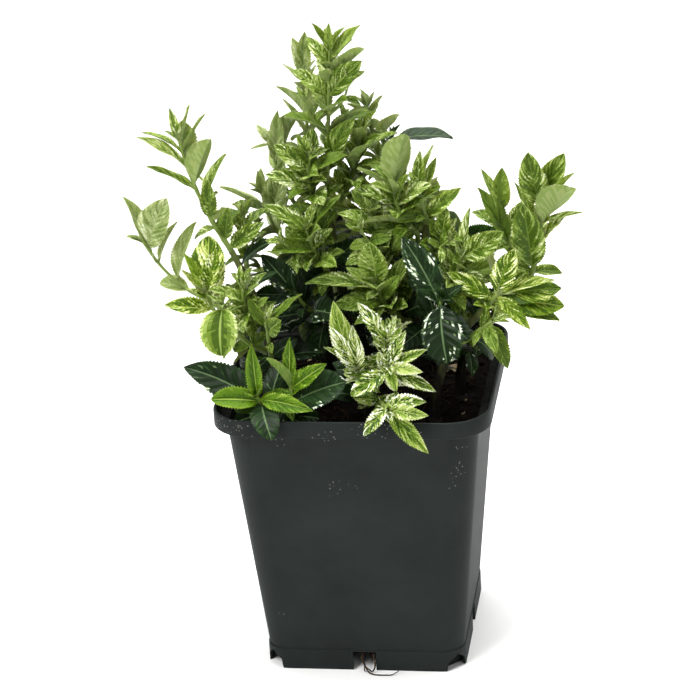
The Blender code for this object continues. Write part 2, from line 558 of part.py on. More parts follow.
class Foliage:
    """Grows every shoot, and skips what would touch something that is already there."""

    def __init__(self):
        self.trees = {}
        self.feet = {name: [] for name in (*STEMS, *SHOOTS)}
        self.shoots = {}
        for name in STEMS:
            line = stem_line(name)
            radii = [stem_radius(name, i / AXIS_STEPS) + LEAF_CLEARANCE for i in range(AXIS_STEPS + 1)]
            self.trees[name] = [BVHTree.FromPolygons(*tube(line, radii, 6))]
        for name, row in SHOOTS.items():
            line = shoot_line(*row[:4])
            self.trees[name] = [BVHTree.FromPolygons(*twig_tube(line))]
            self.shoots[name] = {"lines": [line], "leaves": []}
        for shoot, leaf_rows in SINGLE_LEAVES.items():
            line = self.shoots[shoot]["lines"][0]
            for row in leaf_rows:
                self.add_single(shoot, line, row)
        for name in SHOOTS:
            self.grow(name)

    def free(self, owner, leaf):
        """Whether a leaf is clear of the pot, of other shoots and stems, and of its own shoot's blades."""
        checks = [leaf.point(share, across) for share in (0.3, 0.5, 0.7, 1) for across in (-1, 0, 1)]
        if not all(clear_of_pot(point) and in_reach(point) for point in checks):
            return False
        if self.touches_others(owner, BVHTree.FromPolygons(*leaf.solid(LEAF_CLEARANCE))):
            return False
        blade = self.outer_blade(leaf)
        return not any(blade.overlap(tree) for tree in self.trees[owner])

    def touches_others(self, owner, shape):
        for name, trees in self.trees.items():
            if name != owner and any(shape.overlap(tree) for tree in trees + self.feet[name]):
                return True
        return False

    def outer_blade(self, leaf):
        """The blade without its foot, for the test against its own shoot."""
        points = [leaf.point(share, across) for share in (0.3, 0.65) for across in (-1, 0, 1)]
        points.append(leaf.point(1, 0))
        return BVHTree.FromPolygons(points, [(0, 1, 4, 3), (1, 2, 5, 4), (3, 4, 6), (4, 5, 6)])

    def keep(self, owner, leaf):
        self.trees[owner].append(BVHTree.FromPolygons(*leaf.solid()))
        self.shoots[owner]["leaves"].append(leaf)

    def add_single(self, owner, line, row):
        """Tries a single leaf a little nearer and further off in turn, and keeps the first that is free."""
        share, tip, *form = row
        for nearer in SINGLE_SHIFTS:
            leaf = single_leaf(line, share, Vector(tip) + SIGHT * nearer, *form, SHOOTS[owner][9])
            if self.free(owner, leaf):
                self.keep(owner, leaf)
                return

    def add_leaf(self, owner, line, share, turn, spread, length, age, colour, draw):
        """Tries a leaf in a few ways, and keeps the first that is free."""
        for extra_turn, extra_spread, scale in TRIES:
            leaf = leaf_on(
                line, share, turn + extra_turn, spread + extra_spread, length * scale, age, colour, draw
            )
            if self.free(owner, leaf):
                self.keep(owner, leaf)
                return

    def add_pairs(self, owner, line, pairs, longest, first_turn, old_pairs, colour, draw, bare):
        """Opposite leaves, each pair a quarter turn from the last, closer and smaller to the tip."""
        for pair in range(pairs):
            rise = pair / max(pairs - 1, 1)
            share = bare + (0.98 - bare) * rise**0.85
            spread = SPREAD_LOW + (SPREAD_HIGH - SPREAD_LOW) * rise + draw.uniform(-7, 7)
            length = longest * (0.5 + 0.5 * math.sin(math.pi * (0.22 + 0.7 * rise)))
            age = 1.0 if pair < old_pairs else max(0.0, 0.5 - 0.5 * rise)
            turn = first_turn + 90 * pair + draw.uniform(-10, 10)
            for half_turn in (0, 180):
                size = length * draw.uniform(0.9, 1.08) * (1.15 if age == 1 else 1)
                self.add_leaf(owner, line, share, turn + half_turn, spread, size, age, colour, draw)

    def add_side_twig(self, owner, share, turn, length, longest, colour, draw):
        """A short twig in a leaf's axil, with two pairs of small leaves, where it has room."""
        line = self.shoots[owner]["lines"][0]
        root, way = along_line(line, share)
        first, second = across_directions(way, line)
        angle = math.radians(turn)
        out = first * math.cos(angle) + second * math.sin(angle)
        end = root + (way * 0.75 + out * 0.65 + UP * 0.25).normalized() * length
        middle = root + (way * 0.5 + out * 0.8).normalized() * length / 2
        side_line = arc_points(root, middle, end, 3)
        if self.touches_others(owner, BVHTree.FromPolygons(*twig_tube(side_line, 1.4))):
            return
        if not all(clear_of_pot(point) for point in side_line):
            return
        self.trees[owner].append(BVHTree.FromPolygons(*twig_tube(side_line[1:], 0.75)))
        self.feet[owner].append(BVHTree.FromPolygons(*twig_tube(side_line[:2], 0.75)))
        self.shoots[owner]["lines"].append(side_line)
        self.add_pairs(owner, side_line, 2, longest * 0.62, turn + 45, 0, colour, draw, 0.6)

    def grow(self, name):
        pairs, longest, turn, old_pairs, side_twigs, colour, seed = SHOOTS[name][4:]
        draw = Random(seed)
        line = self.shoots[name]["lines"][0]
        self.add_pairs(name, line, pairs, longest, turn, old_pairs, colour, draw, BARE_SHARE)
        for twig in range(side_twigs):
            share = 0.32 + 0.4 * twig / side_twigs
            side_turn = turn + 45 + 130 * twig + draw.uniform(-15, 15)
            self.add_side_twig(name, share, side_turn, longest * SIDE_TWIG_SHARE, longest, colour, draw)


def mesh_object(name, points, faces, collection):
    """A closed mesh object from points in millimetres."""
    mesh = bpy.data.meshes.new(name)
    mesh.from_pydata([point * MM for point in points], [], faces)
    work = bmesh.new()
    work.from_mesh(mesh)
    bmesh.ops.recalc_face_normals(work, faces=work.faces)
    work.to_mesh(mesh)
    work.free()
    piece = bpy.data.objects.new(name, mesh)
    collection.objects.link(piece)
    return piece


def material(name, colour, roughness, metallic=0.0):
    made = bpy.data.materials.new(name)
    made.use_nodes = True
    shader = made.node_tree.nodes["Principled BSDF"]
    shader.inputs["Base Color"].default_value = (*colour, 1)
    shader.inputs["Roughness"].default_value = roughness
    shader.inputs["Metallic"].default_value = metallic
    made.diffuse_color = (*colour, 1)
    return made


def square_ring(half, corner, height):
    """Points round a square with round corners, from the middle of the +X +Y corner's first arc."""
    ring = []
    for quarter in range(4):
        middle = Vector((half - corner, half - corner, 0))
        turn = Matrix.Rotation(math.pi / 2 * quarter, 3, "Z")
        for step in range(CORNER_STEPS + 1):
            angle = math.pi / 2 * step / CORNER_STEPS
            arc = Vector((math.cos(angle), math.sin(angle), 0)) * corner
            ring.append(turn @ (middle + arc) + UP * height)
    return ring


def loft(name, rings, collection):
    """A closed solid through rings of equally many points, capped at both ends."""
    count = len(rings[0])
    points = [point for ring in rings for point in ring]
    faces = [tuple(reversed(range(count)))]
    for start in range(0, count * (len(rings) - 1), count):
        for i in range(count):
            follow = (i + 1) % count
            faces.append((start + i, start + follow, start + count + follow, start + count + i))
    faces.append(tuple(range(count * (len(rings) - 1), count * len(rings))))
    return mesh_object(name, points, faces, collection)


def pot_rings():
    """The pot's section from the floor's underside, down and round the skirt, up outside, and in."""
    band_foot = POT_HEIGHT - RIM_BAND
    inner_floor_half = wall_half(FLOOR_TOP) - WALL
    inner_top_half = WALL_TOP_HALF - WALL
    floor_foot = FLOOR_TOP - WALL
    return [
        square_ring(SKIRT_HALF - WALL, SKIRT_CORNER - WALL, floor_foot),
        square_ring(SKIRT_HALF - WALL, SKIRT_CORNER - WALL, 0),
        square_ring(SKIRT_HALF, SKIRT_CORNER, 0),
        square_ring(SKIRT_HALF, SKIRT_CORNER, CREASE_HEIGHT - CREASE_DEPTH),
        square_ring(WALL_FOOT_HALF, WALL_FOOT_CORNER, CREASE_HEIGHT),
        square_ring(WALL_TOP_HALF, WALL_TOP_CORNER, band_foot),
        square_ring(RIM_HALF - RIM_ROUND, RIM_CORNER - RIM_ROUND, band_foot),
        square_ring(RIM_HALF, RIM_CORNER, band_foot + RIM_ROUND),
        square_ring(RIM_HALF, RIM_CORNER, POT_HEIGHT - RIM_ROUND),
        square_ring(RIM_HALF - RIM_ROUND, RIM_CORNER - RIM_ROUND, POT_HEIGHT),
        square_ring(RIM_HALF - WALL, RIM_CORNER - WALL, POT_HEIGHT - RIM_ROUND),
        square_ring(RIM_HALF - WALL, RIM_CORNER - WALL, band_foot + WALL),
        square_ring(inner_top_half, WALL_TOP_CORNER - WALL, band_foot + WALL / 2),
        square_ring(inner_floor_half, WALL_FOOT_CORNER - WALL, FLOOR_TOP),
    ]


def cutter(name, points, faces, collection):
    piece = mesh_object(name, points, faces, collection)
    piece.hide_render = True
    piece.display_type = "WIRE"
    return piece


def prism(outline, length):
    """Points and faces of a prism: an outline in X and Z, run along Y from 0 to length."""
    count = len(outline)
    points = [Vector((x, y, z)) for y in (0, length) for x, z in outline]
    faces = [tuple(range(count)), tuple(reversed(range(count, 2 * count)))]
    faces += [(i, (i + 1) % count, count + (i + 1) % count, count + i) for i in range(count)]
    return points, faces


def box_outline(half_width, foot, top):
    return [(-half_width, foot), (half_width, foot), (half_width, top), (-half_width, top)]


def pot_cutters(collection):
    """A slot and a drain hole in the middle of each side, and a notch at each corner of the skirt."""
    half_slot = SLOT_WIDTH / 2
    slot = prism(box_outline(half_slot, -CUT_BELOW, SLOT_HEIGHT), SLOT_CUT_DEPTH)
    hole = prism(box_outline(half_slot, HOLE_FOOT, FLOOR_TOP + CUT_BELOW), HOLE_DEPTH)
    side = NOTCH_HALF_WIDTH
    shoulder = side * NOTCH_TOP_SHARE
    notch_outline = [(-side, -CUT_BELOW), (side, -CUT_BELOW), (shoulder, NOTCH_SIDE_HEIGHT)]
    notch_outline += [(0, NOTCH_HEIGHT), (-shoulder, NOTCH_SIDE_HEIGHT)]
    notch = prism(notch_outline, NOTCH_CUT_DEPTH)
    hole_reach = wall_half(FLOOR_TOP) - WALL - HOLE_DEPTH
    corner_reach = (SKIRT_HALF - SKIRT_CORNER) * math.sqrt(2) + SKIRT_CORNER
    for quarter in range(4):
        turn = math.pi / 2 * quarter
        for name, shape, out, angle in (
            ("slot", slot, SKIRT_HALF - SLOT_CUT_DEPTH * 2 / 3, turn),
            ("drain", hole, hole_reach, turn),
            ("notch", notch, corner_reach - NOTCH_CUT_DEPTH * 0.4, turn + math.pi / 4),
        ):
            place = Matrix.Rotation(angle, 3, "Z")
            points = [place @ (point + Vector((0, out, 0))) for point in shape[0]]
            cutter(f"{name}_cutter_{quarter}", points, shape[1], collection)


def corner_webs(collection):
    """Upright plates across the corners under the floor, behind the notches."""
    inner = SKIRT_HALF - WALL / 2
    across = (inner - WEB_REACH) * math.sqrt(2) / 2 + WALL / 3
    out = (inner + WEB_REACH) / math.sqrt(2)
    points, faces = prism(box_outline(across, 0, FLOOR_TOP - WALL / 2), WALL)
    for quarter in range(4):
        place = Matrix.Rotation(math.pi / 2 * quarter + math.pi / 4, 3, "Z")
        moved = [place @ (point + Vector((0, out - WALL, 0))) for point in points]
        mesh_object(f"web_{quarter}", moved, faces, collection)


def apply_boolean(piece, collection, operation, solver):
    """Joins a collection to a piece, or cuts it from it, and removes the collection."""
    modifier = piece.modifiers.new(operation.lower(), "BOOLEAN")
    modifier.operand_type = "COLLECTION"
    modifier.collection = collection
    modifier.operation = operation
    modifier.solver = solver
    graph = bpy.context.evaluated_depsgraph_get()
    joined = bpy.data.meshes.new_from_object(piece.evaluated_get(graph))
    piece.modifiers.clear()
    old = piece.data
    piece.data = joined
    bpy.data.meshes.remove(old)
    for helper in list(collection.objects):
        bpy.data.objects.remove(helper)
    bpy.data.collections.remove(collection)


def new_collection(name, parent):
    made = bpy.data.collections.new(name)
    parent.children.link(made)
    return made


def keep_main_body(mesh):
    """Drops loose scraps and fills sealed hollows: only the outer surface of the largest body stays."""
    work = bmesh.new()
    work.from_mesh(mesh)
    unseen = set(work.faces)
    islands = []
    while unseen:
        island = {unseen.pop()}
        edge = list(island)
        while edge:
            face = edge.pop()
            near = {other for side in face.edges for other in side.link_faces} & unseen
            unseen -= near
            island |= near
            edge += near
        islands.append(island)
    main = max(islands, key=lambda island: sum(face.calc_area() for face in island))
    scraps = [face for face in work.faces if face not in main]
    bmesh.ops.delete(work, geom=scraps, context="FACES")
    work.to_mesh(mesh)
    work.free()


def make_pot(plant, helpers):
    pot = loft("pot", pot_rings(), plant)
    webs = new_collection("webs", helpers)
    corner_webs(webs)
    apply_boolean(pot, webs, "UNION", "EXACT")
    cutters = new_collection("pot_cutters", helpers)
    pot_cutters(cutters)
    apply_boolean(pot, cutters, "DIFFERENCE", "EXACT")
    pot.data.materials.clear()
    pot.data.materials.append(material("black_plastic", (0.03, 0.034, 0.034), 0.5))
    pot.data.set_sharp_from_angle(angle=math.radians(30))


def make_root_ball(plant):
    foot = FLOOR_TOP + SOIL_CLEARANCE
    inset = WALL + SOIL_CLEARANCE
    rings = [
        square_ring(wall_half(height) - inset, wall_corner(height) - WALL, height)
        for height in (foot, SOIL_TOP)
    ]
    root_ball = loft("root_ball", rings, plant)
    root_ball.data.materials.append(material("peat", (0.02, 0.014, 0.01), 0.95))


def make_stems(plant):
    bark = material("bark", (0.16, 0.2, 0.09), 0.75)
    for name in STEMS:
        line = stem_line(name)
        line.insert(0, line[0] - UP * FOOT_RISE)
        curve = bpy.data.curves.new(name, "CURVE")
        curve.dimensions = "3D"
        curve.bevel_depth = MM
        curve.bevel_resolution = 1
        curve.use_fill_caps = True
        curve.materials.append(bark)
        spline = curve.splines.new("POLY")
        spline.points.add(len(line) - 1)
        for i, centre in enumerate(line):
            spline.points[i].co = (*(centre * MM), 1)
            spline.points[i].radius = stem_radius(name, max(i - 1, 0) / AXIS_STEPS)
        plant.objects.link(bpy.data.objects.new(name, curve))


def make_shoots(foliage, plant, helpers):
    finishes = {name: material(f"leaves_{name}", colour, 0.45) for name, colour in COLOURS.items()}
    for name, shoot in foliage.shoots.items():
        main_line, *side_lines = shoot["lines"]
        piece = mesh_object(f"shoot_{name}", *twig_tube(main_line), plant)
        parts = new_collection(f"{name}_parts", helpers)
        for line in side_lines:
            mesh_object("side_twig", *twig_tube(line, 0.75), parts)
        for leaf in shoot["leaves"]:
            mesh_object("leaf", *leaf.solid(), parts)
        apply_boolean(piece, parts, "UNION", "MANIFOLD")
        keep_main_body(piece.data)
        piece.data.materials.clear()
        piece.data.materials.append(finishes[SHOOTS[name][9]])


def main():
    for old in list(bpy.data.objects):
        bpy.data.objects.remove(old)
    plant = new_collection("wintercreeper_in_pot", bpy.context.scene.collection)
    helpers = new_collection("helpers", bpy.context.scene.collection)
    make_pot(plant, helpers)
    make_root_ball(plant)
    make_stems(plant)
    make_shoots(Foliage(), plant, helpers)
    bpy.data.collections.remove(helpers)


main()
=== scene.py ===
"""Looks of the potted wintercreeper euonymus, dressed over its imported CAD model.

Blender 4.5 script, metres, +Z up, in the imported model's frame: the origin is on the ground under the
middle of the pot, and the photo's front of the pot faces -Y. Lengths below are in millimetres and MM
turns them into metres. The growth rule and its named sizes are those of the CAD source, so every leaf
here lies where its plain solid does, with a fine blade, petiole and veins, and small new growth is
added in the leaf axils and at the tips.
"""

import json
import math
from collections import namedtuple
from random import Random

import bmesh
import bpy
import numpy as np
from mathutils import Matrix, Vector, noise
from mathutils.bvhtree import BVHTree

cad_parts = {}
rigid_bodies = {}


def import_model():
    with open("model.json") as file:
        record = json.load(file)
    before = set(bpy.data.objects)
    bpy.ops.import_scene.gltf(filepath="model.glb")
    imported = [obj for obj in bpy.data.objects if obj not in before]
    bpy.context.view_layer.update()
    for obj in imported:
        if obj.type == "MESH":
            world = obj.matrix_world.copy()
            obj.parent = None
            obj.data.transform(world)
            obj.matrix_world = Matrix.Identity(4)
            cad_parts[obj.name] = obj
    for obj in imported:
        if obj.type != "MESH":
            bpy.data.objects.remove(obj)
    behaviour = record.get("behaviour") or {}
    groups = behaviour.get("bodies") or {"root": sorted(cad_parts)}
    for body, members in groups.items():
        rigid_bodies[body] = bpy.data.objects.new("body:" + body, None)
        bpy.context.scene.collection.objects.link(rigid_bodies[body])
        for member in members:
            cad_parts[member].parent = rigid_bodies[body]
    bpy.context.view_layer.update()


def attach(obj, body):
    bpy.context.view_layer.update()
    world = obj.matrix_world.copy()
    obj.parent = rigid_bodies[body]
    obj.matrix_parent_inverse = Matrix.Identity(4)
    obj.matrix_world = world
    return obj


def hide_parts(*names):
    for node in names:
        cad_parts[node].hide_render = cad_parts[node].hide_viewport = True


MM = 0.001
UP = Vector((0, 0, 1))
FRONT = Vector((0, -1, 0))
GAP = 0.3  # between neighbouring solids

# Pot, a square one with round corners; a half is from the axis to a flat side
POT_HEIGHT = 95.2
RIM_HALF = 45.0
RIM_CORNER = 14.0
RIM_BAND = 5.6
WALL = 1.0
WALL_TOP_HALF = 41.1
WALL_TOP_CORNER = 11.0
WALL_FOOT_HALF = 33.0
WALL_FOOT_CORNER = 7.5
CREASE_HEIGHT = 7.6
CREASE_DEPTH = 0.4
SKIRT_HALF = 33.3
SKIRT_CORNER = 7.5
FLOOR_TOP = 7.0
SLOT_WIDTH = 7.7
SLOT_HEIGHT = 6.9
CUT_BELOW = 1.0  # how far a cutter runs past what it cuts
SLOT_CUT_DEPTH = 6.0
HOLE_FOOT = 3.0
HOLE_DEPTH = 6.0
NOTCH_HALF_WIDTH = 4.0
NOTCH_SIDE_HEIGHT = 3.4
NOTCH_HEIGHT = 5.8
NOTCH_TOP_SHARE = 0.85
NOTCH_CUT_DEPTH = 8.0
WEB_REACH = 24.0

# Root ball
SOIL_TOP = 84.0
SOIL_CLEARANCE = 0.35

# Growth rule
FOOT_RISE = 1.5  # how far a stem runs straight up from its flat cut
AXIS_STEPS = 5
TWIG_FOOT_RADIUS = 0.85
TWIG_TIP_RADIUS = 0.42
TWIG_SIDES = 3
BARE_SHARE = 0.22
SPREAD_LOW = 64
SPREAD_HIGH = 20
LEAF_ASPECT = 0.4
LEAF_FOLD = 28  # of a young blade's halves, up from its midrib, in degrees
OLD_FLATNESS = 0.5  # how much of its fold a leaf has lost when it is old
LEAF_THICKNESS_SHARE = 1 / 45
STATIONS = (0.34, 0.68)
SMALL_STATIONS = (0.48,)
SMALL_LEAF = 13.5
SIDE_TWIG_SHARE = 0.85
LEAF_CLEARANCE = 0.3
RIM_CLEARANCE = 0.7
CROWN_REACH = (76.5, 52.5, 211.8)  # no leaf goes beyond, sideways, to front or back, and up
BACK_OF_CROWN = 15  # leaves further back than this face the back
# How a leaf that doesn't fit is tried again: further turn, further spread, scale
TRIES = (
    (0, 0, 1),
    (18, 0, 1),
    (-18, 8, 1),
    (30, -12, 0.9),
    (-32, 14, 0.85),
    (8, 26, 0.75),
    (-10, -22, 0.7),
)
# How far a single leaf's tip moves towards the photo's place when it doesn't fit, in turn
SINGLE_SHIFTS = (0, 1.5, -1.5, 3, -3, 4.5, -4.5, 6, -6)
SIGHT = Vector((0.15, -0.92, 0.37))

# name: foot x, y; tip x, y, z; foot radius; tip radius
STEMS = {
    "stem_centre": ((-5, 3), (-10.5, 5, 150), 2.3, 1.15),
    "stem_left": ((-27, -13), (-40.5, -7, 139), 2.2, 1.0),
    "stem_front_left": ((-21, -27), (-27, -36, 96), 1.9, 1.2),
    "stem_front": ((4, -19), (9, -22, 104), 1.9, 1.2),
    "stem_right": ((17, -4), (23, -1, 146), 2.1, 1.0),
    "stem_low_right": ((25, -17), (42, -14, 122), 1.9, 1.0),
    "stem_far_right": ((31, 3), (54, -4, 124), 2.0, 1.0),
    "stem_back_left": ((-14, 19), (-17, 19, 142), 2.1, 1.0),
    "stem_back_right": ((10, 21), (7, 20, 150), 2.1, 1.0),
}

# The stem, share of the stem where the shoot starts (1 is the tip), tip of its twig x, y, z, how far its
# middle sags, pairs of leaves, length of its longest leaf, turn of its lowest pair in degrees, old
# pairs at its foot, side twigs, colour, seed
Shoot = namedtuple("Shoot", "stem share tip sag pairs longest turn old_pairs side_twigs colour seed")
SHOOTS = {
    "leader": ("stem_centre", 1, (-7, 8, 202), 0, 8, 16, 20, 0, 3, "fresh", 1),
    "behind_leader": ("stem_back_left", 1, (-18, 22, 190), 1, 6, 14, 60, 0, 2, "pale", 2),
    "back_left_high": ("stem_back_left", 0.88, (-29.5, 14, 169.5), 2, 3, 14, 0, 0, 1, "pale", 3),
    "back_left_low": ("stem_back_left", 0.66, (-34, 18, 150.5), 4, 4, 15, 0, 1, 1, "pale", 4),
    "left_long": ("stem_left", 1, (-55.5, -5, 176), 2, 1, 12, 10, 0, 1, "fresh", 5),
    "left_inner": ("stem_left", 0.8, (-37.5, 2, 148), 1, 4, 13, 30, 0, 1, "fresh", 6),
    "left_low": ("stem_left", 0.6, (-70, -6, 142), 6, 0, 14, 0, 0, 0, "pale", 7),
    "left_cream": ("stem_left", 0.45, (-47.5, -18, 129), 4, 2, 13, 0, 0, 1, "gold", 8),
    "left_middle": ("stem_left", 0.52, (-35, -20, 131), 3, 4, 14, 30, 0, 1, "fresh", 39),
    "left_foot": ("stem_left", 0.25, (-27.5, -22, 120), 2, 2, 13, 50, 1, 0, "fresh", 9),
    "round_leaf": ("stem_left", 0.36, (-40.5, -28, 128.5), 3, 1, 11, 0, 0, 0, "fresh", 10),
    "front_left_whorl": ("stem_front_left", 1, (-29, -39, 101), 0, 1, 14, 2, 0, 0, "lime", 11),
    "front_left_second": ("stem_front_left", 0.6, (-18.5, -36, 105), 2, 2, 13, 40, 1, 0, "lime", 12),
    "front_cream_left": ("stem_front", 0.6, (2.5, -30, 107), 1, 2, 11, 0, 0, 0, "cream", 43),
    "front_cream_high": ("stem_front", 1, (12, -27, 115), 0, 3, 13, 15, 0, 1, "cream", 13),
    "front_cream_right": ("stem_front", 0.8, (13, -35, 110), 1, 2, 12, 70, 0, 0, "cream", 44),
    "front_cream_low": ("stem_front", 0.3, (14, -46, 100.5), -1, 1, 13, 30, 0, 0, "cream", 14),
    "centre_low": ("stem_right", 0.42, (7, -13, 130), 2, 5, 18, 20, 1, 1, "fresh", 15),
    "centre_whorl": ("stem_centre", 0.58, (-15, -9, 147), 2, 5, 17, 35, 1, 2, "fresh", 16),
    "centre_upper": ("stem_centre", 0.75, (-14, -1, 169), 2, 7, 17.5, 15, 0, 1, "fresh", 40),
    "centre_foot": ("stem_centre", 0.4, (-20, -8, 125), 3, 4, 17, 20, 2, 0, "deep", 41),
    "centre_high": ("stem_centre", 0.85, (1, 9, 173), 2, 7, 17, 0, 0, 2, "fresh", 37),
    "right_inner": ("stem_right", 1, (21, -1, 157), 0, 2, 13, 25, 0, 1, "fresh", 17),
    "right_broad": ("stem_right", 0.76, (13, -3, 160), 2, 5, 16, 10, 0, 1, "fresh", 18),
    "right_side": ("stem_right", 0.84, (28, -3, 142), 1, 3, 13, 50, 0, 1, "fresh", 19),
    "right_mid": ("stem_right", 0.6, (6, -5, 151), 2, 6, 17.5, 70, 0, 2, "fresh", 20),
    "right_front": ("stem_right", 0.5, (35, -11, 139), 3, 5, 16, 10, 1, 1, "fresh", 38),
    "dark_right": ("stem_right", 0.38, (29, -20, 127), 2, 3, 15, 80, 2, 0, "deep", 21),
    "right_centre": ("stem_low_right", 0.8, (34, -7, 135), 2, 5, 16, 0, 1, 0, "fresh", 42),
    "right_low": ("stem_low_right", 1, (46.5, -15, 127), 0, 1, 12, 45, 0, 0, "gold", 22),
    "right_over_rim": ("stem_low_right", 0.6, (45, -20, 120), 0, 2, 14, 20, 1, 0, "fresh", 23),
    "far_right_inner": ("stem_far_right", 0.72, (47.5, -2, 152), 3, 4, 14, 20, 0, 1, "fresh", 24),
    "far_right": ("stem_far_right", 1, (60, -8, 155), 2, 3, 13, 10, 0, 0, "fresh", 25),
    "back_right_high": ("stem_back_right", 1, (2, 21, 179), 0, 6, 13, 20, 0, 2, "pale", 26),
    "back_right_dark": ("stem_back_right", 0.85, (9, 25, 167), 2, 2, 14, 30, 2, 0, "deep", 27),
    "back_right_low": ("stem_back_right", 0.55, (29, 25, 130), 3, 3, 16, 60, 2, 0, "deep", 28),
    "back_a": ("stem_back_left", 0.4, (-30, 37, 118), 4, 3, 18, 10, 1, 1, "fresh", 29),
    "back_b": ("stem_back_left", 0.22, (-12, 41, 107), 3, 3, 18, 40, 1, 0, "cream", 30),
    "back_c": ("stem_back_right", 0.3, (13, 41, 110), 3, 3, 18, 25, 1, 1, "fresh", 31),
    "back_d": ("stem_back_right", 0.42, (33, 36, 117), 4, 3, 18, 60, 1, 0, "cream", 32),
    "back_e": ("stem_back_right", 0.7, (18, 31, 142), 3, 5, 18, 0, 0, 1, "fresh", 33),
    "back_f": ("stem_back_left", 0.55, (-12, 34, 138), 3, 5, 18, 35, 0, 1, "fresh", 34),
    "right_back": ("stem_far_right", 0.4, (49, 24, 120), 3, 4, 14, 0, 0, 0, "fresh", 35),
    "left_back": ("stem_left", 0.34, (-51, 13, 112), 4, 4, 16, 20, 1, 0, "pale", 36),
}
SHOOTS = {name: Shoot(*row) for name, row in SHOOTS.items()}

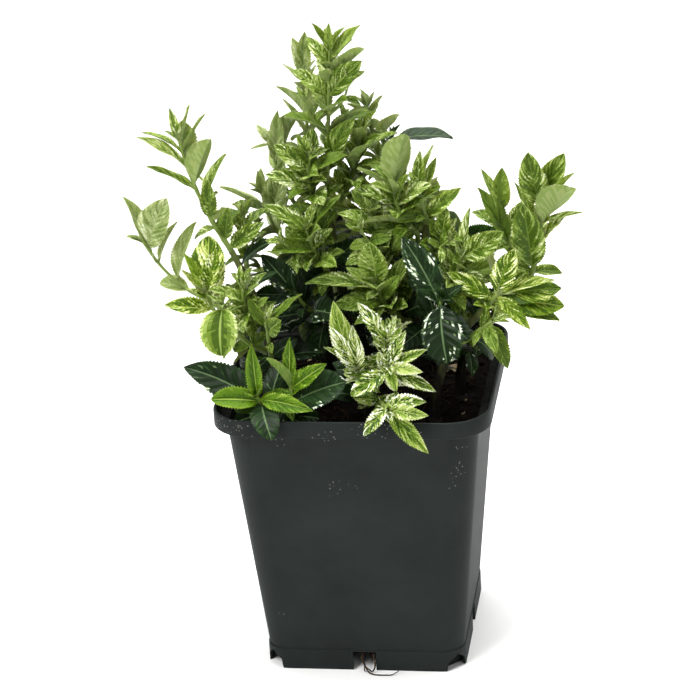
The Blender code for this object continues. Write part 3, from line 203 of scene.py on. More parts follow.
# The leaves that give each shoot its shape, seen from the front, by shoot: share of its twig, leaf tip
# x, y, z, width over length, turn to the front (below 0 the underside shows), bend in degrees, age
# from 0 to 1
SINGLE_LEAVES = {
    "leader": (
        (0.98, (-12.5, 7, 211.5), 0.3, 0.3, 12, 0),
        (0.98, (-6.5, 6, 211.5), 0.3, 0.6, 8, 0),
        (0.93, (3.5, 7, 210.5), 0.36, 0.4, 14, 0),
        (0.8, (4.5, 6, 203), 0.56, -0.7, 14, 0.1),
        (0.7, (4, 4, 199.5), 0.46, 0.7, 20, 0.4),
        (0.5, (5, 5, 183.5), 0.3, -0.3, 20, 0.2),
        (0.28, (1, 2, 181), 0.42, 0.7, 20, 0.3),
    ),
    "behind_leader": (
        (0.98, (-17, 21, 205), 0.38, 0.7, 12, 0),
        (0.97, (-21.5, 21, 203.5), 0.38, 0.6, 14, 0),
        (0.93, (-25.5, 22, 194), 0.22, 0.3, 12, 0),
        (0.55, (-25.5, 20, 182.5), 0.24, 0.2, 16, 0.1),
    ),
    "back_left_high": (
        (0.8, (-20, 13, 181), 0.5, -0.4, 14, 0.2),
        (0.8, (-26, 13, 180.5), 0.34, 0.7, 12, 0.1),
        (0.97, (-36.5, 14, 167), 0.25, 0.4, 14, 0),
        (0.97, (-32.5, 14, 171.5), 0.3, 0.5, 12, 0),
        (0.95, (-31, 14, 175), 0.25, 0.4, 10, 0),
    ),
    "back_left_low": (
        (0.8, (-48.5, 18, 153), 0.32, -0.2, 20, 0.2),
        (0.95, (-35, 17, 159), 0.36, 0.7, 12, 0.2),
        (0.7, (-25.5, 16, 163), 0.4, 0.7, 14, 0.2),
    ),
    "left_long": (
        (0.98, (-58, -5, 187.5), 0.3, 0.5, 12, 0),
        (0.96, (-51.5, -4, 188), 0.2, 0, 8, 0),
        (0.92, (-46.5, -4, 185), 0.2, 0, 8, 0),
        (0.9, (-67.5, -6, 179.5), 0.22, 0.1, 36, 0),
        (0.78, (-69.5, -6, 178), 0.26, 0.3, 30, 0.1),
        (0.8, (-54, -8, 184.5), 0.58, -0.85, 10, 0.2),
        (0.62, (-45, -7, 177.5), 0.58, -0.85, 14, 0.2),
        (0.58, (-67, -6, 168), 0.22, 0.35, 26, 0.1),
        (0.42, (-40.5, -5, 172), 0.28, 0.3, 34, 0.1),
        (0.3, (-46, -9, 164.5), 0.4, 0.7, 16, 0.3),
        (0.28, (-38.5, -9, 153.5), 0.56, -0.8, 16, 0.1),
        (0.1, (-40, -9, 155), 0.44, 0.7, 16, 0.5),
        (0.02, (-28.5, -8, 149.5), 0.42, 0.7, 18, 0.4),
    ),
    "left_low": (
        (0.9, (-75.5, -6, 158), 0.32, 0.3, 16, 0.1),
        (0.93, (-60, -8, 157.5), 0.52, 0.7, 14, 0.1),
        (0.82, (-57.5, -8, 150), 0.22, 0.3, 16, 0.1),
        (0.62, (-51.5, -7, 149.5), 0.34, 0.3, 24, 0.2),
        (0.98, (-76, -6, 144), 0.4, 0.3, 16, 0.1),
        (0.5, (-65.5, -8, 129), 0.6, 0.5, 20, 0.2),
    ),
    "left_cream": (
        (0.97, (-54.5, -17, 142.5), 0.27, 0.5, 18, 0),
        (0.93, (-55.5, -19, 137.5), 0.26, 0.5, 16, 0),
        (0.98, (-43, -18, 144), 0.46, 0.8, 18, 0),
        (0.85, (-46.5, -13, 147), 0.56, 0.7, 16, 0.6),
        (0.8, (-34, -17, 134), 0.26, -0.3, 18, 0.2),
        (0.75, (-61.5, -21, 125.5), 0.44, 0.5, 18, 0.2),
        (0.85, (-53.5, -21, 131.5), 0.3, 0.4, 14, 0.1),
    ),
    "left_foot": (
        (0.95, (-15, -24, 131), 0.22, 0.5, 14, 0.2),
        (0.93, (-33.5, -22, 129), 0.36, 0.6, 16, 0.3),
        (0.8, (-22, -26, 122.5), 0.7, 0.8, 20, 0.7),
    ),
    "round_leaf": (
        (0.97, (-40, -37, 114), 0.8, 0.9, 45, 0.4),
    ),
    "front_left_whorl": (
        (0.9, (-29, -42, 121), 0.3, 0.8, 14, 0.1),
        (0.6, (-43.5, -43, 102), 0.54, 0.6, 36, 0.1),
        (0.8, (-9.5, -47, 100), 0.3, 0.8, 20, 0.1),
        (0.35, (-23, -50, 91), 0.56, 0.3, 75, 1),
        (0.2, (-53.5, -35, 110), 0.42, 0.5, 22, 1),
    ),
    "front_left_second": (
        (0.95, (-17.5, -38, 121.5), 0.28, 0.8, 10, 0.1),
        (0.85, (-5.5, -40, 113.5), 0.38, 0.7, 16, 0.2),
        (0.9, (-25, -40, 115.5), 0.42, -0.7, 14, 0.4),
        (0.3, (0, -37, 106), 0.6, 0.6, 20, 1),
    ),
    "front_cream_left": (
        (0.9, (-5, -26, 129.5), 0.34, 0.6, 14, 0.2),
        (0.95, (-5.5, -32, 123), 0.36, 0.8, 16, 0),
        (0.8, (-8, -32, 116), 0.28, 0.4, 16, 0),
        (0.98, (1.5, -31, 123), 0.34, 0.8, 12, 0),
        (0.6, (-3, -34, 103.5), 0.34, 0.3, 18, 0),
    ),
    "front_cream_high": (
        (0.97, (2.5, -26, 129), 0.36, 0.6, 16, 0.1),
        (0.9, (8, -33, 118), 0.4, 0.7, 14, 0),
        (0.98, (15, -24, 124), 0.34, 0.5, 14, 0.2),
    ),
    "front_cream_right": (
        (0.98, (25, -40, 110.5), 0.34, 0.8, 18, 0),
        (0.97, (19, -32, 122), 0.36, 0.8, 14, 0.1),
        (0.8, (28.5, -36, 102), 0.3, 0.7, 18, 0.1),
        (0.9, (26, -34, 116), 0.3, 0.6, 14, 0.1),
        (0.97, (16.5, -42, 104.5), 0.44, 0.9, 18, 0),
        (0.8, (1, -39, 101.5), 0.52, 0.7, 30, 0),
    ),
    "front_cream_low": (
        (0.95, (6, -50, 92.5), 0.42, 0.8, 16, 0.1),
        (0.98, (27.5, -50, 100), 0.36, 0.8, 16, 0.1),
        (0.85, (26.5, -46, 103), 0.42, 0.5, 16, 0),
        (0.93, (27, -50.5, 87), 0.32, 0.8, 16, 0.2),
    ),
    "centre_low": (
        (0.92, (-16, -15, 131), 0.3, 0.3, 25, 0.3),
        (0.97, (6, -16, 145.5), 0.62, 0.9, 14, 0.6),
    ),
    "centre_high": ((0.3, (-7.5, 6, 163), 0.5, 0.7, 14, 0.3),),
    "centre_foot": (
        (0.97, (-34, -8, 124.5), 0.5, 0.6, 20, 1),
        (0.8, (-31.5, -4, 137), 0.45, 0.6, 20, 1),
    ),
    "centre_upper": (
        (0.55, (-8.5, 3, 163), 0.4, 0.6, 14, 0.3),
        (0.35, (-3.5, 3, 158.5), 0.4, 0.6, 14, 0.4),
        (0.4, (-14, 6, 160), 0.36, 0.6, 14, 0.4),
    ),
    "centre_whorl": (
        (0.95, (-29.5, -9, 156), 0.34, 0.5, 18, 0.3),
        (0.97, (-3.5, -9, 158.5), 0.3, 0.4, 18, 0.2),
    ),
    "right_broad": (
        (0.97, (17.5, -6, 178.5), 0.56, -0.85, 10, 0.2),
        (0.3, (3, -9, 149.5), 0.46, -0.8, 20, 0.2),
    ),
    "right_inner": (
        (0.97, (22, -3, 172), 0.32, 0.8, 10, 0.1),
        (0.93, (26, 0, 173), 0.22, 0.2, 12, 0),
        (0.8, (27.5, -2, 170), 0.28, 0.5, 12, 0),
        (0.5, (1.5, -4, 167), 0.2, -0.5, 12, 0.1),
        (0.2, (35, -2, 159), 0.4, 0.7, 16, 0),
    ),
    "right_side": ((0.9, (30, -4, 153), 0.5, 0.8, 12, 0.5),),
    "right_front": (
        (0.9, (38, -10, 155), 0.26, 0.3, 18, 0.1),
        (0.98, (49, -14, 148), 0.5, 0.8, 15, 0.2),
    ),
    "dark_right": (
        (0.95, (31, -28, 108), 0.66, 0.7, 40, 1),
        (0.9, (16, -12, 146), 0.42, 0.5, 25, 1),
    ),
    "right_low": (
        (0.97, (40.5, -13, 147.5), 0.28, -0.3, 22, 0.1),
        (0.98, (52.5, -15, 143), 0.48, 0.7, 16, 0.2),
        (0.95, (65, -14, 132), 0.28, 0.4, 16, 0.2),
        (0.9, (67, -10, 127.5), 0.46, 0.6, 20, 0.8),
        (0.85, (68, -12, 122), 0.46, 0.6, 20, 0.8),
        (0.7, (66.5, -13, 117.5), 0.38, 0.5, 20, 0.7),
        (0.95, (57, -18, 116), 0.34, 0.6, 20, 0.1),
        (0.6, (30, -15, 135), 0.38, 0.5, 18, 0.3),
    ),
    "right_over_rim": (
        (0.55, (39, -25, 113), 0.38, 0.7, 30, 0.5),
        (0.75, (47, -27, 111.5), 0.44, 0.7, 30, 0.6),
        (0.9, (50, -22, 104), 0.4, 0.4, 34, 0.8),
    ),
    "far_right_inner": (
        (0.97, (48, -4, 166.5), 0.44, 0.7, 14, 0.1),
        (0.9, (41.5, -4, 166.5), 0.24, 0.3, 14, 0),
        (0.6, (40, -5, 160), 0.3, 0.4, 18, 0.1),
    ),
    "far_right": (
        (0.98, (57, -12, 174), 0.5, 0.8, 12, 0.2),
        (0.96, (69, -12, 174), 0.48, 0.7, 14, 0),
        (0.8, (70.5, -18, 164.5), 0.58, -0.8, 14, 0.1),
        (0.95, (72, -10, 167), 0.26, 0.3, 14, 0),
        (0.7, (52, -8, 163), 0.22, 0.4, 14, 0.1),
        (0.25, (54.5, -7, 155), 0.5, 0.7, 14, 0.3),
        (0.8, (74, -12, 154), 0.22, 0.3, 16, 0.1),
        (0.6, (69, -14, 153.5), 0.34, 0.5, 18, 0.4),
    ),
    "back_right_dark": ((0.96, (30, 25, 167), 0.5, 0.2, 20, 1),),
    "back_right_low": ((0.9, (46.5, 21, 134), 0.6, 0.75, 20, 1),),
}


class Leaf:
    """One leaf's frame and sizes, in millimetres: where it starts, which way it runs and faces."""

    def __init__(self, root, along, face, length, aspect, bend, age, colour):
        self.root = root
        self.along = along.normalized()
        self.face = (face - self.along * face.dot(self.along)).normalized()
        self.side = self.along.cross(self.face)
        self.length = length
        self.half_width = length * aspect / 2
        self.bend = bend
        self.age = age
        self.colour = colour

    def midrib(self, share):
        """A point of the midrib, which is an arc that bends away from the face."""
        angle = max(self.bend, 0.01)
        forward = math.sin(angle * share) / angle
        back = (1 - math.cos(angle * share)) / angle
        return self.root + (self.along * forward - self.face * back) * self.length

    def facing(self, share):
        return self.face * math.cos(self.bend * share) + self.along * math.sin(self.bend * share)

    def point(self, share, across, lift=0.0):
        """A point of the blade: across runs from -1 at one margin to 1 at the other."""
        reach = self.half_width * blade_outline(share) * across
        fold = math.radians(LEAF_FOLD * (1 - OLD_FLATNESS * self.age))
        facing = self.facing(share)
        return (
            self.midrib(share)
            + self.side * reach * math.cos(fold)
            + facing * (abs(reach) * math.sin(fold) + lift)
        )

    def stations(self):
        return SMALL_STATIONS if self.length < SMALL_LEAF else STATIONS

    def solid(self, grow=0.0):
        """Points and faces of the closed blade, or of one that is larger all round by grow."""
        depth = max(self.length * LEAF_THICKNESS_SHARE, 0.3) + grow
        widen = 1 + grow / self.half_width
        points = [self.root]
        for share in self.stations():
            points += [self.point(share, -widen, grow), self.point(share, widen, grow)]
            points.append(self.point(share, 0, -depth))
        points.append(self.point(1, 0))
        faces = [(0, 1 + (i + 1) % 3, 1 + i) for i in range(3)]
        for start in range(1, 3 * len(self.stations()) - 3, 3):
            faces += band_faces(start, 3)
        last = len(points) - 4
        faces += [(last + i, last + (i + 1) % 3, last + 3) for i in range(3)]
        return points, faces


def blade_outline(share):
    """Half the blade's width at a share of its length, against its widest."""
    rise, fall = 0.8, 1.0
    widest = rise / (rise + fall)
    return (share / widest) ** rise * ((1 - share) / (1 - widest)) ** fall


def arc_points(start, middle, end, steps):
    """Points of a quadratic curve."""
    shares = [i / steps for i in range(steps + 1)]
    return [start * (1 - t) ** 2 + middle * 2 * t * (1 - t) + end * t * t for t in shares]


def along_line(points, share):
    """A point of an evenly stepped line and the line's direction there."""
    place = min(max(share, 0), 1) * (len(points) - 1)
    step = min(int(place), len(points) - 2)
    run = points[step + 1] - points[step]
    return points[step] + run * (place - step), run.normalized()


def stem_line(name):
    """A stem's axis above its upright foot."""
    foot, tip = STEMS[name][:2]
    start = Vector((foot[0], foot[1], SOIL_TOP + GAP + FOOT_RISE))
    end = Vector(tip)
    middle = Vector((foot[0], foot[1], start.z + 0.55 * (end.z - start.z)))
    return arc_points(start, middle, end, AXIS_STEPS)


def stem_radius(name, share):
    """A stem's radius: an even taper and a short flare at its foot."""
    foot_radius, tip_radius = STEMS[name][2:]
    flare = 0.45 * math.exp(-share * 14)
    return (foot_radius + (tip_radius - foot_radius) * share) * (1 + flare)


def sagging_arc(start, end, sag):
    """A curve whose middle lies lower than its chord by sag, or further out where it stands upright."""
    chord = (end - start).normalized()
    down = -UP + chord * chord.z
    if down.length < 0.35:
        outward = Vector((start.x, start.y, 0))
        down = outward - chord * chord.dot(outward)
    middle = (start + end) / 2 + down.normalized() * sag * 2
    return arc_points(start, middle, end, AXIS_STEPS)


def shoot_line(stem, share, tip, sag):
    """A shoot's twig, from clear of its stem to its tip."""
    centre, stem_way = along_line(stem_line(stem), share)
    line = sagging_arc(centre, Vector(tip), sag)
    way = (line[1] - line[0]).normalized()
    lean = way.angle(stem_way)
    if share == 1:
        clear = (GAP + TWIG_FOOT_RADIUS * math.sin(lean)) / math.cos(lean)
    else:
        clear = (stem_radius(stem, share) + GAP + TWIG_FOOT_RADIUS * abs(math.cos(lean))) / math.sin(lean)
    start = centre + way * clear
    return sagging_arc(start, Vector(tip), sag)


def across_directions(way, line):
    """Two directions across a twig, the first towards a fixed side of the whole shoot."""
    chord = line[-1] - line[0]
    fixed = Vector((1, 0, 0)) if abs(chord.normalized().z) > 0.75 else UP
    first = (fixed - way * fixed.dot(way)).normalized()
    return first, way.cross(first)


def round_way(first, second, angle):
    """The direction at an angle round a twig, from two directions across it."""
    return first * math.cos(angle) + second * math.sin(angle)


def leaf_on(line, share, turn, spread, length, age, colour, draw):
    """A leaf at a share of a twig, turned round it and spread from it by angles in degrees."""
    root, way = along_line(line, share)
    out = round_way(*across_directions(way, line), math.radians(turn))
    spread = math.radians(spread)
    along = way * math.cos(spread) + out * math.sin(spread)
    along = (along - UP * 0.22 * age).normalized()
    open_side = -FRONT if root.y > BACK_OF_CROWN else FRONT
    outward = Vector((root.x, root.y, 0)).normalized()
    face = way * 0.6 + UP * 0.5 + open_side * draw.uniform(0.3, 0.9) + outward * 0.25
    bend = math.radians(draw.uniform(18, 38) + 12 * age)
    aspect = LEAF_ASPECT * draw.uniform(0.88, 1.15) * (1 + 0.25 * age)
    return Leaf(root - along * TWIG_TIP_RADIUS, along, face, length, aspect, bend, age, colour)


def single_leaf(line, share, tip, aspect, to_front, bend, age, colour):
    """A leaf whose tip lies at a given place."""
    root, way = along_line(line, share)
    chord = Vector(tip) - root
    bend = math.radians(bend)
    face = UP * (1 - to_front) + FRONT * to_front + UP * 0.15
    face = (face - chord * face.dot(chord) / chord.length_squared).normalized()
    length = chord.length / (2 * math.sin(bend / 2) / bend)
    along = chord.normalized() * math.cos(bend / 2) + face * math.sin(bend / 2)
    return Leaf(root - along * TWIG_TIP_RADIUS, along, face, length, aspect, bend, age, colour)


def twig_radius(share):
    return TWIG_FOOT_RADIUS + (TWIG_TIP_RADIUS - TWIG_FOOT_RADIUS) * share


def band_faces(start, count):
    """The quads from a ring of count points, whose first point's number is start, to the next ring."""
    follow = [(k + 1) % count for k in range(count)]
    return [(start + k, start + n, start + count + n, start + count + k) for k, n in enumerate(follow)]


def loft_faces(count, rings):
    """Faces of a closed form through rings of count points each, with a flat face at either end."""
    faces = [tuple(reversed(range(count)))]
    for start in range(0, count * (rings - 1), count):
        faces += band_faces(start, count)
    return faces + [tuple(range(count * (rings - 1), count * rings))]


def tube(line, radii, sides):
    """Points and faces of a closed tapering tube along a line."""
    points = []
    for i, centre in enumerate(line):
        way = (line[min(i + 1, len(line) - 1)] - line[max(i - 1, 0)]).normalized()
        first, second = across_directions(way, line)
        for k in range(sides):
            points.append(centre + round_way(first, second, math.tau * k / sides) * radii[i])
    return points, loft_faces(sides, len(line))


def twig_tube(line, scale=1.0):
    radii = [twig_radius(i / (len(line) - 1)) * scale for i in range(len(line))]
    return tube(line, radii, TWIG_SIDES)


def wall_size(foot, top, height):
    """A size of the pot's wall at a height, from the same size at the wall's foot and top."""
    share = (height - CREASE_HEIGHT) / (POT_HEIGHT - RIM_BAND - CREASE_HEIGHT)
    return foot + (top - foot) * share


def wall_half(height):
    """Half the width across the pot's wall, outside, at a height."""
    return wall_size(WALL_FOOT_HALF, WALL_TOP_HALF, height)


def wall_corner(height):
    """The radius of the wall's round corners, outside, at a height."""
    return wall_size(WALL_FOOT_CORNER, WALL_TOP_CORNER, height)


def clear_of_pot(point):
    """Whether a point of the crown is clear of the pot and the root ball."""
    out = max(abs(point.x), abs(point.y))
    if out > RIM_HALF + RIM_CLEARANCE:
        return point.z > 2
    if out > wall_half(POT_HEIGHT) - WALL - RIM_CLEARANCE:
        return point.z > POT_HEIGHT + RIM_CLEARANCE
    return point.z > SOIL_TOP + GAP + RIM_CLEARANCE


def in_reach(point):
    return abs(point.x) < CROWN_REACH[0] and abs(point.y) < CROWN_REACH[1] and point.z < CROWN_REACH[2]


class Foliage:
    """Grows every shoot, and skips what would touch something that is already there."""

    def __init__(self):
        self.trees = {}
        self.feet = {name: [] for name in (*STEMS, *SHOOTS)}
        self.shoots = {}
        for name in STEMS:
            line = stem_line(name)
            radii = [stem_radius(name, i / AXIS_STEPS) + LEAF_CLEARANCE for i in range(AXIS_STEPS + 1)]
            self.trees[name] = [BVHTree.FromPolygons(*tube(line, radii, 6))]
        for name, row in SHOOTS.items():
            line = shoot_line(*row[:4])
            self.trees[name] = [BVHTree.FromPolygons(*twig_tube(line))]
            self.shoots[name] = {"lines": [line], "leaves": []}
        for shoot, leaf_rows in SINGLE_LEAVES.items():
            line = self.shoots[shoot]["lines"][0]
            for row in leaf_rows:
                self.add_single(shoot, line, row)
        for name in SHOOTS:
            self.grow(name)

    def free(self, owner, leaf):
        """Whether a leaf is clear of the pot, of other shoots and stems, and of its own shoot's blades."""
        checks = [leaf.point(share, across) for share in (0.3, 0.5, 0.7, 1) for across in (-1, 0, 1)]
        if not all(clear_of_pot(point) and in_reach(point) for point in checks):
            return False
        if self.touches_others(owner, BVHTree.FromPolygons(*leaf.solid(LEAF_CLEARANCE))):
            return False
        blade = self.outer_blade(leaf)
        return not any(blade.overlap(tree) for tree in self.trees[owner])

    def touches_others(self, owner, shape):
        for name, trees in self.trees.items():
            if name != owner and any(shape.overlap(tree) for tree in trees + self.feet[name]):
                return True
        return False

    def outer_blade(self, leaf):
        """The blade without its foot, for the test against its own shoot."""
        points = [leaf.point(share, across) for share in (0.3, 0.65) for across in (-1, 0, 1)]
        points.append(leaf.point(1, 0))
        return BVHTree.FromPolygons(points, [(0, 1, 4, 3), (1, 2, 5, 4), (3, 4, 6), (4, 5, 6)])

    def keep(self, owner, leaf):
        self.trees[owner].append(BVHTree.FromPolygons(*leaf.solid()))
        self.shoots[owner]["leaves"].append(leaf)

    def add_single(self, owner, line, row):
        """Tries a single leaf a little nearer and further off in turn, and keeps the first that is free."""
        share, tip, *form = row
        for nearer in SINGLE_SHIFTS:
            leaf = single_leaf(line, share, Vector(tip) + SIGHT * nearer, *form, SHOOTS[owner].colour)
            if self.free(owner, leaf):
                self.keep(owner, leaf)
                return

    def add_leaf(self, owner, line, share, turn, spread, length, age, colour, draw):
        """Tries a leaf in a few ways, and keeps the first that is free."""
        for extra_turn, extra_spread, scale in TRIES:
            leaf = leaf_on(
                line, share, turn + extra_turn, spread + extra_spread, length * scale, age, colour, draw
            )
            if self.free(owner, leaf):
                self.keep(owner, leaf)
                return

    def add_pairs(self, owner, line, pairs, longest, first_turn, old_pairs, colour, draw, bare):
        """Opposite leaves, each pair a quarter turn from the last, closer and smaller to the tip."""
        for pair in range(pairs):
            rise = pair / max(pairs - 1, 1)
            share = bare + (0.98 - bare) * rise**0.85
            spread = SPREAD_LOW + (SPREAD_HIGH - SPREAD_LOW) * rise + draw.uniform(-7, 7)
            length = longest * (0.5 + 0.5 * math.sin(math.pi * (0.22 + 0.7 * rise)))
            age = 1.0 if pair < old_pairs else max(0.0, 0.5 - 0.5 * rise)
            turn = first_turn + 90 * pair + draw.uniform(-10, 10)
            for half_turn in (0, 180):
                size = length * draw.uniform(0.9, 1.08) * (1.15 if age == 1 else 1)
                self.add_leaf(owner, line, share, turn + half_turn, spread, size, age, colour, draw)

    def add_side_twig(self, owner, share, turn, length, longest, colour, draw):
        """A short twig in a leaf's axil, with two pairs of small leaves, where it has room."""
        line = self.shoots[owner]["lines"][0]
        root, way = along_line(line, share)
        out = round_way(*across_directions(way, line), math.radians(turn))
        end = root + (way * 0.75 + out * 0.65 + UP * 0.25).normalized() * length
        middle = root + (way * 0.5 + out * 0.8).normalized() * length / 2
        side_line = arc_points(root, middle, end, 3)
        if self.touches_others(owner, BVHTree.FromPolygons(*twig_tube(side_line, 1.4))):
            return
        if not all(clear_of_pot(point) for point in side_line):
            return
        self.trees[owner].append(BVHTree.FromPolygons(*twig_tube(side_line[1:], 0.75)))
        self.feet[owner].append(BVHTree.FromPolygons(*twig_tube(side_line[:2], 0.75)))
        self.shoots[owner]["lines"].append(side_line)
        self.add_pairs(owner, side_line, 2, longest * 0.62, turn + 45, 0, colour, draw, 0.6)

    def grow(self, name):
        row = SHOOTS[name]
        draw = Random(row.seed)
        line = self.shoots[name]["lines"][0]
        form = row.pairs, row.longest, row.turn, row.old_pairs
        self.add_pairs(name, line, *form, row.colour, draw, BARE_SHARE)
        for twig in range(row.side_twigs):
            share = 0.32 + 0.4 * twig / row.side_twigs
            turn = row.turn + 45 + 130 * twig + draw.uniform(-15, 15)
            length = row.longest * SIDE_TWIG_SHARE
            self.add_side_twig(name, share, turn, length, row.longest, row.colour, draw)


# Fine leaves
STALK = (-1.0, -0.6, -0.25)  # the petiole's rings, from its foot to just below the blade, which starts at 0
PETIOLE_SHARE = 0.08
PETIOLE_WIDTH_SHARE = 0.026
PETIOLE_TONE = 2
TOP_COLUMNS = (-1, -0.84, -0.64, -0.43, -0.22, -0.06, 0.06, 0.22, 0.43, 0.64, 0.84, 1)
LARGE_TOP_COLUMNS = (
    -1, -0.9, -0.8, -0.68, -0.56, -0.43, -0.3, -0.16, -0.045, 0.045, 0.16, 0.3, 0.43, 0.56, 0.68, 0.8, 0.9, 1
)
UNDER_COLUMNS = (0.55, 0, -0.55)
LARGE_UNDER_COLUMNS = (0.7, 0.35, 0, -0.35, -0.7)
SMALL_TOP_COLUMNS = (-1, -0.6, -0.28, -0.07, 0.07, 0.28, 0.6, 1)
SMALL_UNDER_COLUMNS = (0,)
# Longest leaf of each size, and its rows; a tooth of the margin takes two rows
ROWS = ((5, 8), (7.5, 14), (11, 24), (14.5, 32), (17.5, 40), (99, 56))
VEIN_SLANT = 0.95  # how far the rows climb from the midrib to the margin
VEIN_PAIRS = 6
TONES = 5
TOOTH_DEPTH = 0.36  # how far a tooth's tip and the gap beside it lie from the plain outline
MOST_TOOTH_SHARE = 0.095  # the same on a small leaf, against half its width
POINTED = 0.94  # how straight a narrow leaf runs out to its tip
BLUNT = 0.3  # how much rounder a broad leaf ends
FLECKED_SHARE = 0.4  # how many of the old leaves have white flecks
FLECK_LEVEL = 0.95  # the higher, the fewer the flecks
LARGE_FLECK_LEVEL = 0.76  # the same for the large old leaves on the right, which have more of them
ROUND_SHARE = 0.38  # a leaf is round when half its width is more than this share of its length
ROUND_MARGIN = 3.2  # how much paler than its middle a round leaf's margin is, besides
MIDRIB_REACH = 0.04  # half the midrib's width over the top, as a share of half the blade's
AGE_DARKER = 1.3  # how many tones an old leaf is darker than a young one
FLECK_EDGE = 0.12  # how far above its level a fleck turns from pale to white
AXIL_SEED = 77
FLUSH_SEED = 500  # added to each shoot's own
DARK_SEED = 300  # added to each stem's number
DARK_REACH = 41  # how far out the old leaves on the stems reach
HUB_PAIRS = 3  # more pairs of small leaves on a cream shoot
FULL_PIECE = 160000  # a piece of leaves ends at the first shoot that brings it past these triangles
LEAF_SHARP = 75  # the least angle in degrees of an edge that looks sharp on a leaf
FULL_TURN = 6.28
# Shoots that show their twigs in the photo, with fewer small leaves between the large ones
OPEN_SHOOTS = (
    "leader", "behind_leader", "back_left_high", "back_left_low", "left_long", "left_low", "left_cream",
    "left_foot", "round_leaf", "far_right", "far_right_inner", "right_back",
)
BARE_CORNER = (12, -8, 112)  # the peat shows to the right and in front of this place, below this height


def srgb(red, green, blue):
    """Linear values of a colour given as it looks on screen, from 0 to 255."""
    def linear(value):
        value /= 255
        return value / 12.92 if value <= 0.04045 else ((value + 0.055) / 1.055) ** 2.4

    return (linear(red), linear(green), linear(blue))


# Plain colours of each kind of leaf, from its darkest green to its palest fleck, and its underside
LEAF_TONES = {
    "fresh": ((58, 80, 14), (88, 112, 34), (124, 144, 66), (172, 184, 120), (212, 218, 178)),
    "gold": ((54, 80, 8), (94, 120, 24), (150, 166, 74), (202, 210, 138), (232, 236, 200)),
    "pale": ((88, 106, 44), (114, 131, 70), (140, 153, 97), (170, 180, 132), (204, 211, 180)),
    "cream": ((46, 70, 16), (98, 124, 34), (150, 166, 88), (202, 209, 160), (236, 238, 220)),
    "lime": ((54, 84, 8), (76, 108, 14), (98, 128, 28), (142, 164, 68), (188, 200, 122)),
    "deep": ((16, 32, 10), (26, 47, 18), (42, 66, 32), (84, 106, 68), (203, 212, 190)),
}
UNDERSIDES = {
    "fresh": (134, 148, 90),
    "gold": (148, 159, 102),
    "pale": (148, 160, 110),
    "cream": (176, 184, 142),
    "lime": (108, 130, 62),
    "deep": (68, 86, 62),
}
UNDER_DARKER = (0.87, 0.92, 0.8)  # an underside's darker green against its paler one
# A kind's average tone, how strong its streaks and its blotches are, and how much paler its margin is
MOTTLING = {
    "fresh": (1.75, 3.6, 2.0, 0.5),
    "gold": (1.9, 3.8, 2.0, 0.6),
    "pale": (2.0, 2.2, 1.2, 0.3),
    "cream": (2.05, 4.6, 2.6, 1.8),
    "lime": (1.2, 2.0, 0.9, 1.7),
    "deep": (0.7, 1.2, 0.8, 0.0),
}
KINDS = tuple(LEAF_TONES)


def new_material(name, colour, roughness, sockets):
    """A material of one linear colour, with more of its shader's sockets set by name."""
    made = bpy.data.materials.new(name)
    made.use_nodes = True
    made.diffuse_color = (*colour, 1)
    shader = made.node_tree.nodes["Principled BSDF"]
    shader.inputs["Base Color"].default_value = (*colour, 1)
    shader.inputs["Roughness"].default_value = roughness
    for socket, value in sockets.items():
        shader.inputs[socket].default_value = value
    return made, made.node_tree, shader


def add_node(tree, kind, **settings):
    """A node with its properties and, by socket name, its values set."""
    node = tree.nodes.new("ShaderNode" + kind)
    for key, value in settings.items():
        if key in node.inputs:
            node.inputs[key].default_value = value
        else:
            setattr(node, key, value)
    return node


def object_place(tree):
    """The output that gives a point's place on the object."""
    place = tree.nodes.get("Texture Coordinate") or add_node(tree, "TexCoord")
    return place.outputs["Object"]


def on_object(tree, kind, **settings):
    """A node that works on a point's place on the object, such as a texture."""
    node = add_node(tree, kind, **settings)
    tree.links.new(object_place(tree), node.inputs["Vector"])
    return node


def maths(tree, operation, *values):
    """The result of an operation on numbers and on other nodes' outputs."""
    node = add_node(tree, "Math", operation=operation)
    for socket, value in zip(node.inputs, values):
        if isinstance(value, float):
            socket.default_value = value
        else:
            tree.links.new(value, socket)
    return node.outputs["Value"]


def remapped(tree, source, low, high, to_low, to_high):
    """A value between low and high, moved to its place between two other values."""
    ends = {"From Min": low, "From Max": high, "To Min": to_low, "To Max": to_high}
    node = add_node(tree, "MapRange", **ends)
    tree.links.new(source, node.inputs["Value"])
    return node.outputs["Result"]


def by_height(tree, *ends):
    """A value that changes between two heights in metres from one value to another."""
    split = add_node(tree, "SeparateXYZ")
    tree.links.new(object_place(tree), split.inputs["Vector"])
    return remapped(tree, split.outputs["Z"], *ends)


def colour_ramp(tree, source, low, dark, high, light):
    """The colours from a dark one, up to a value low, to a light one, from a value high."""
    ramp = add_node(tree, "ValToRGB")
    for element, place, colour in zip(ramp.color_ramp.elements, (low, high), (dark, light)):
        element.position = place
        element.color = (*srgb(*colour), 1)
    tree.links.new(source, ramp.inputs["Fac"])
    return ramp.outputs["Color"]


def link_bump(tree, shader, height, strength, distance):
    bump = add_node(tree, "Bump", Strength=strength, Distance=distance)
    tree.links.new(height, bump.inputs["Height"])
    tree.links.new(bump.outputs["Normal"], shader.inputs["Normal"])


# A leaf's low gloss and the light that goes through its flesh
LEAF_SOCKETS = {
    "Specular IOR Level": 0.14,
    "Subsurface Weight": 0.15,
    "Subsurface Radius": (1.0, 1.0, 0.3),
    "Subsurface Scale": 0.0012,
}


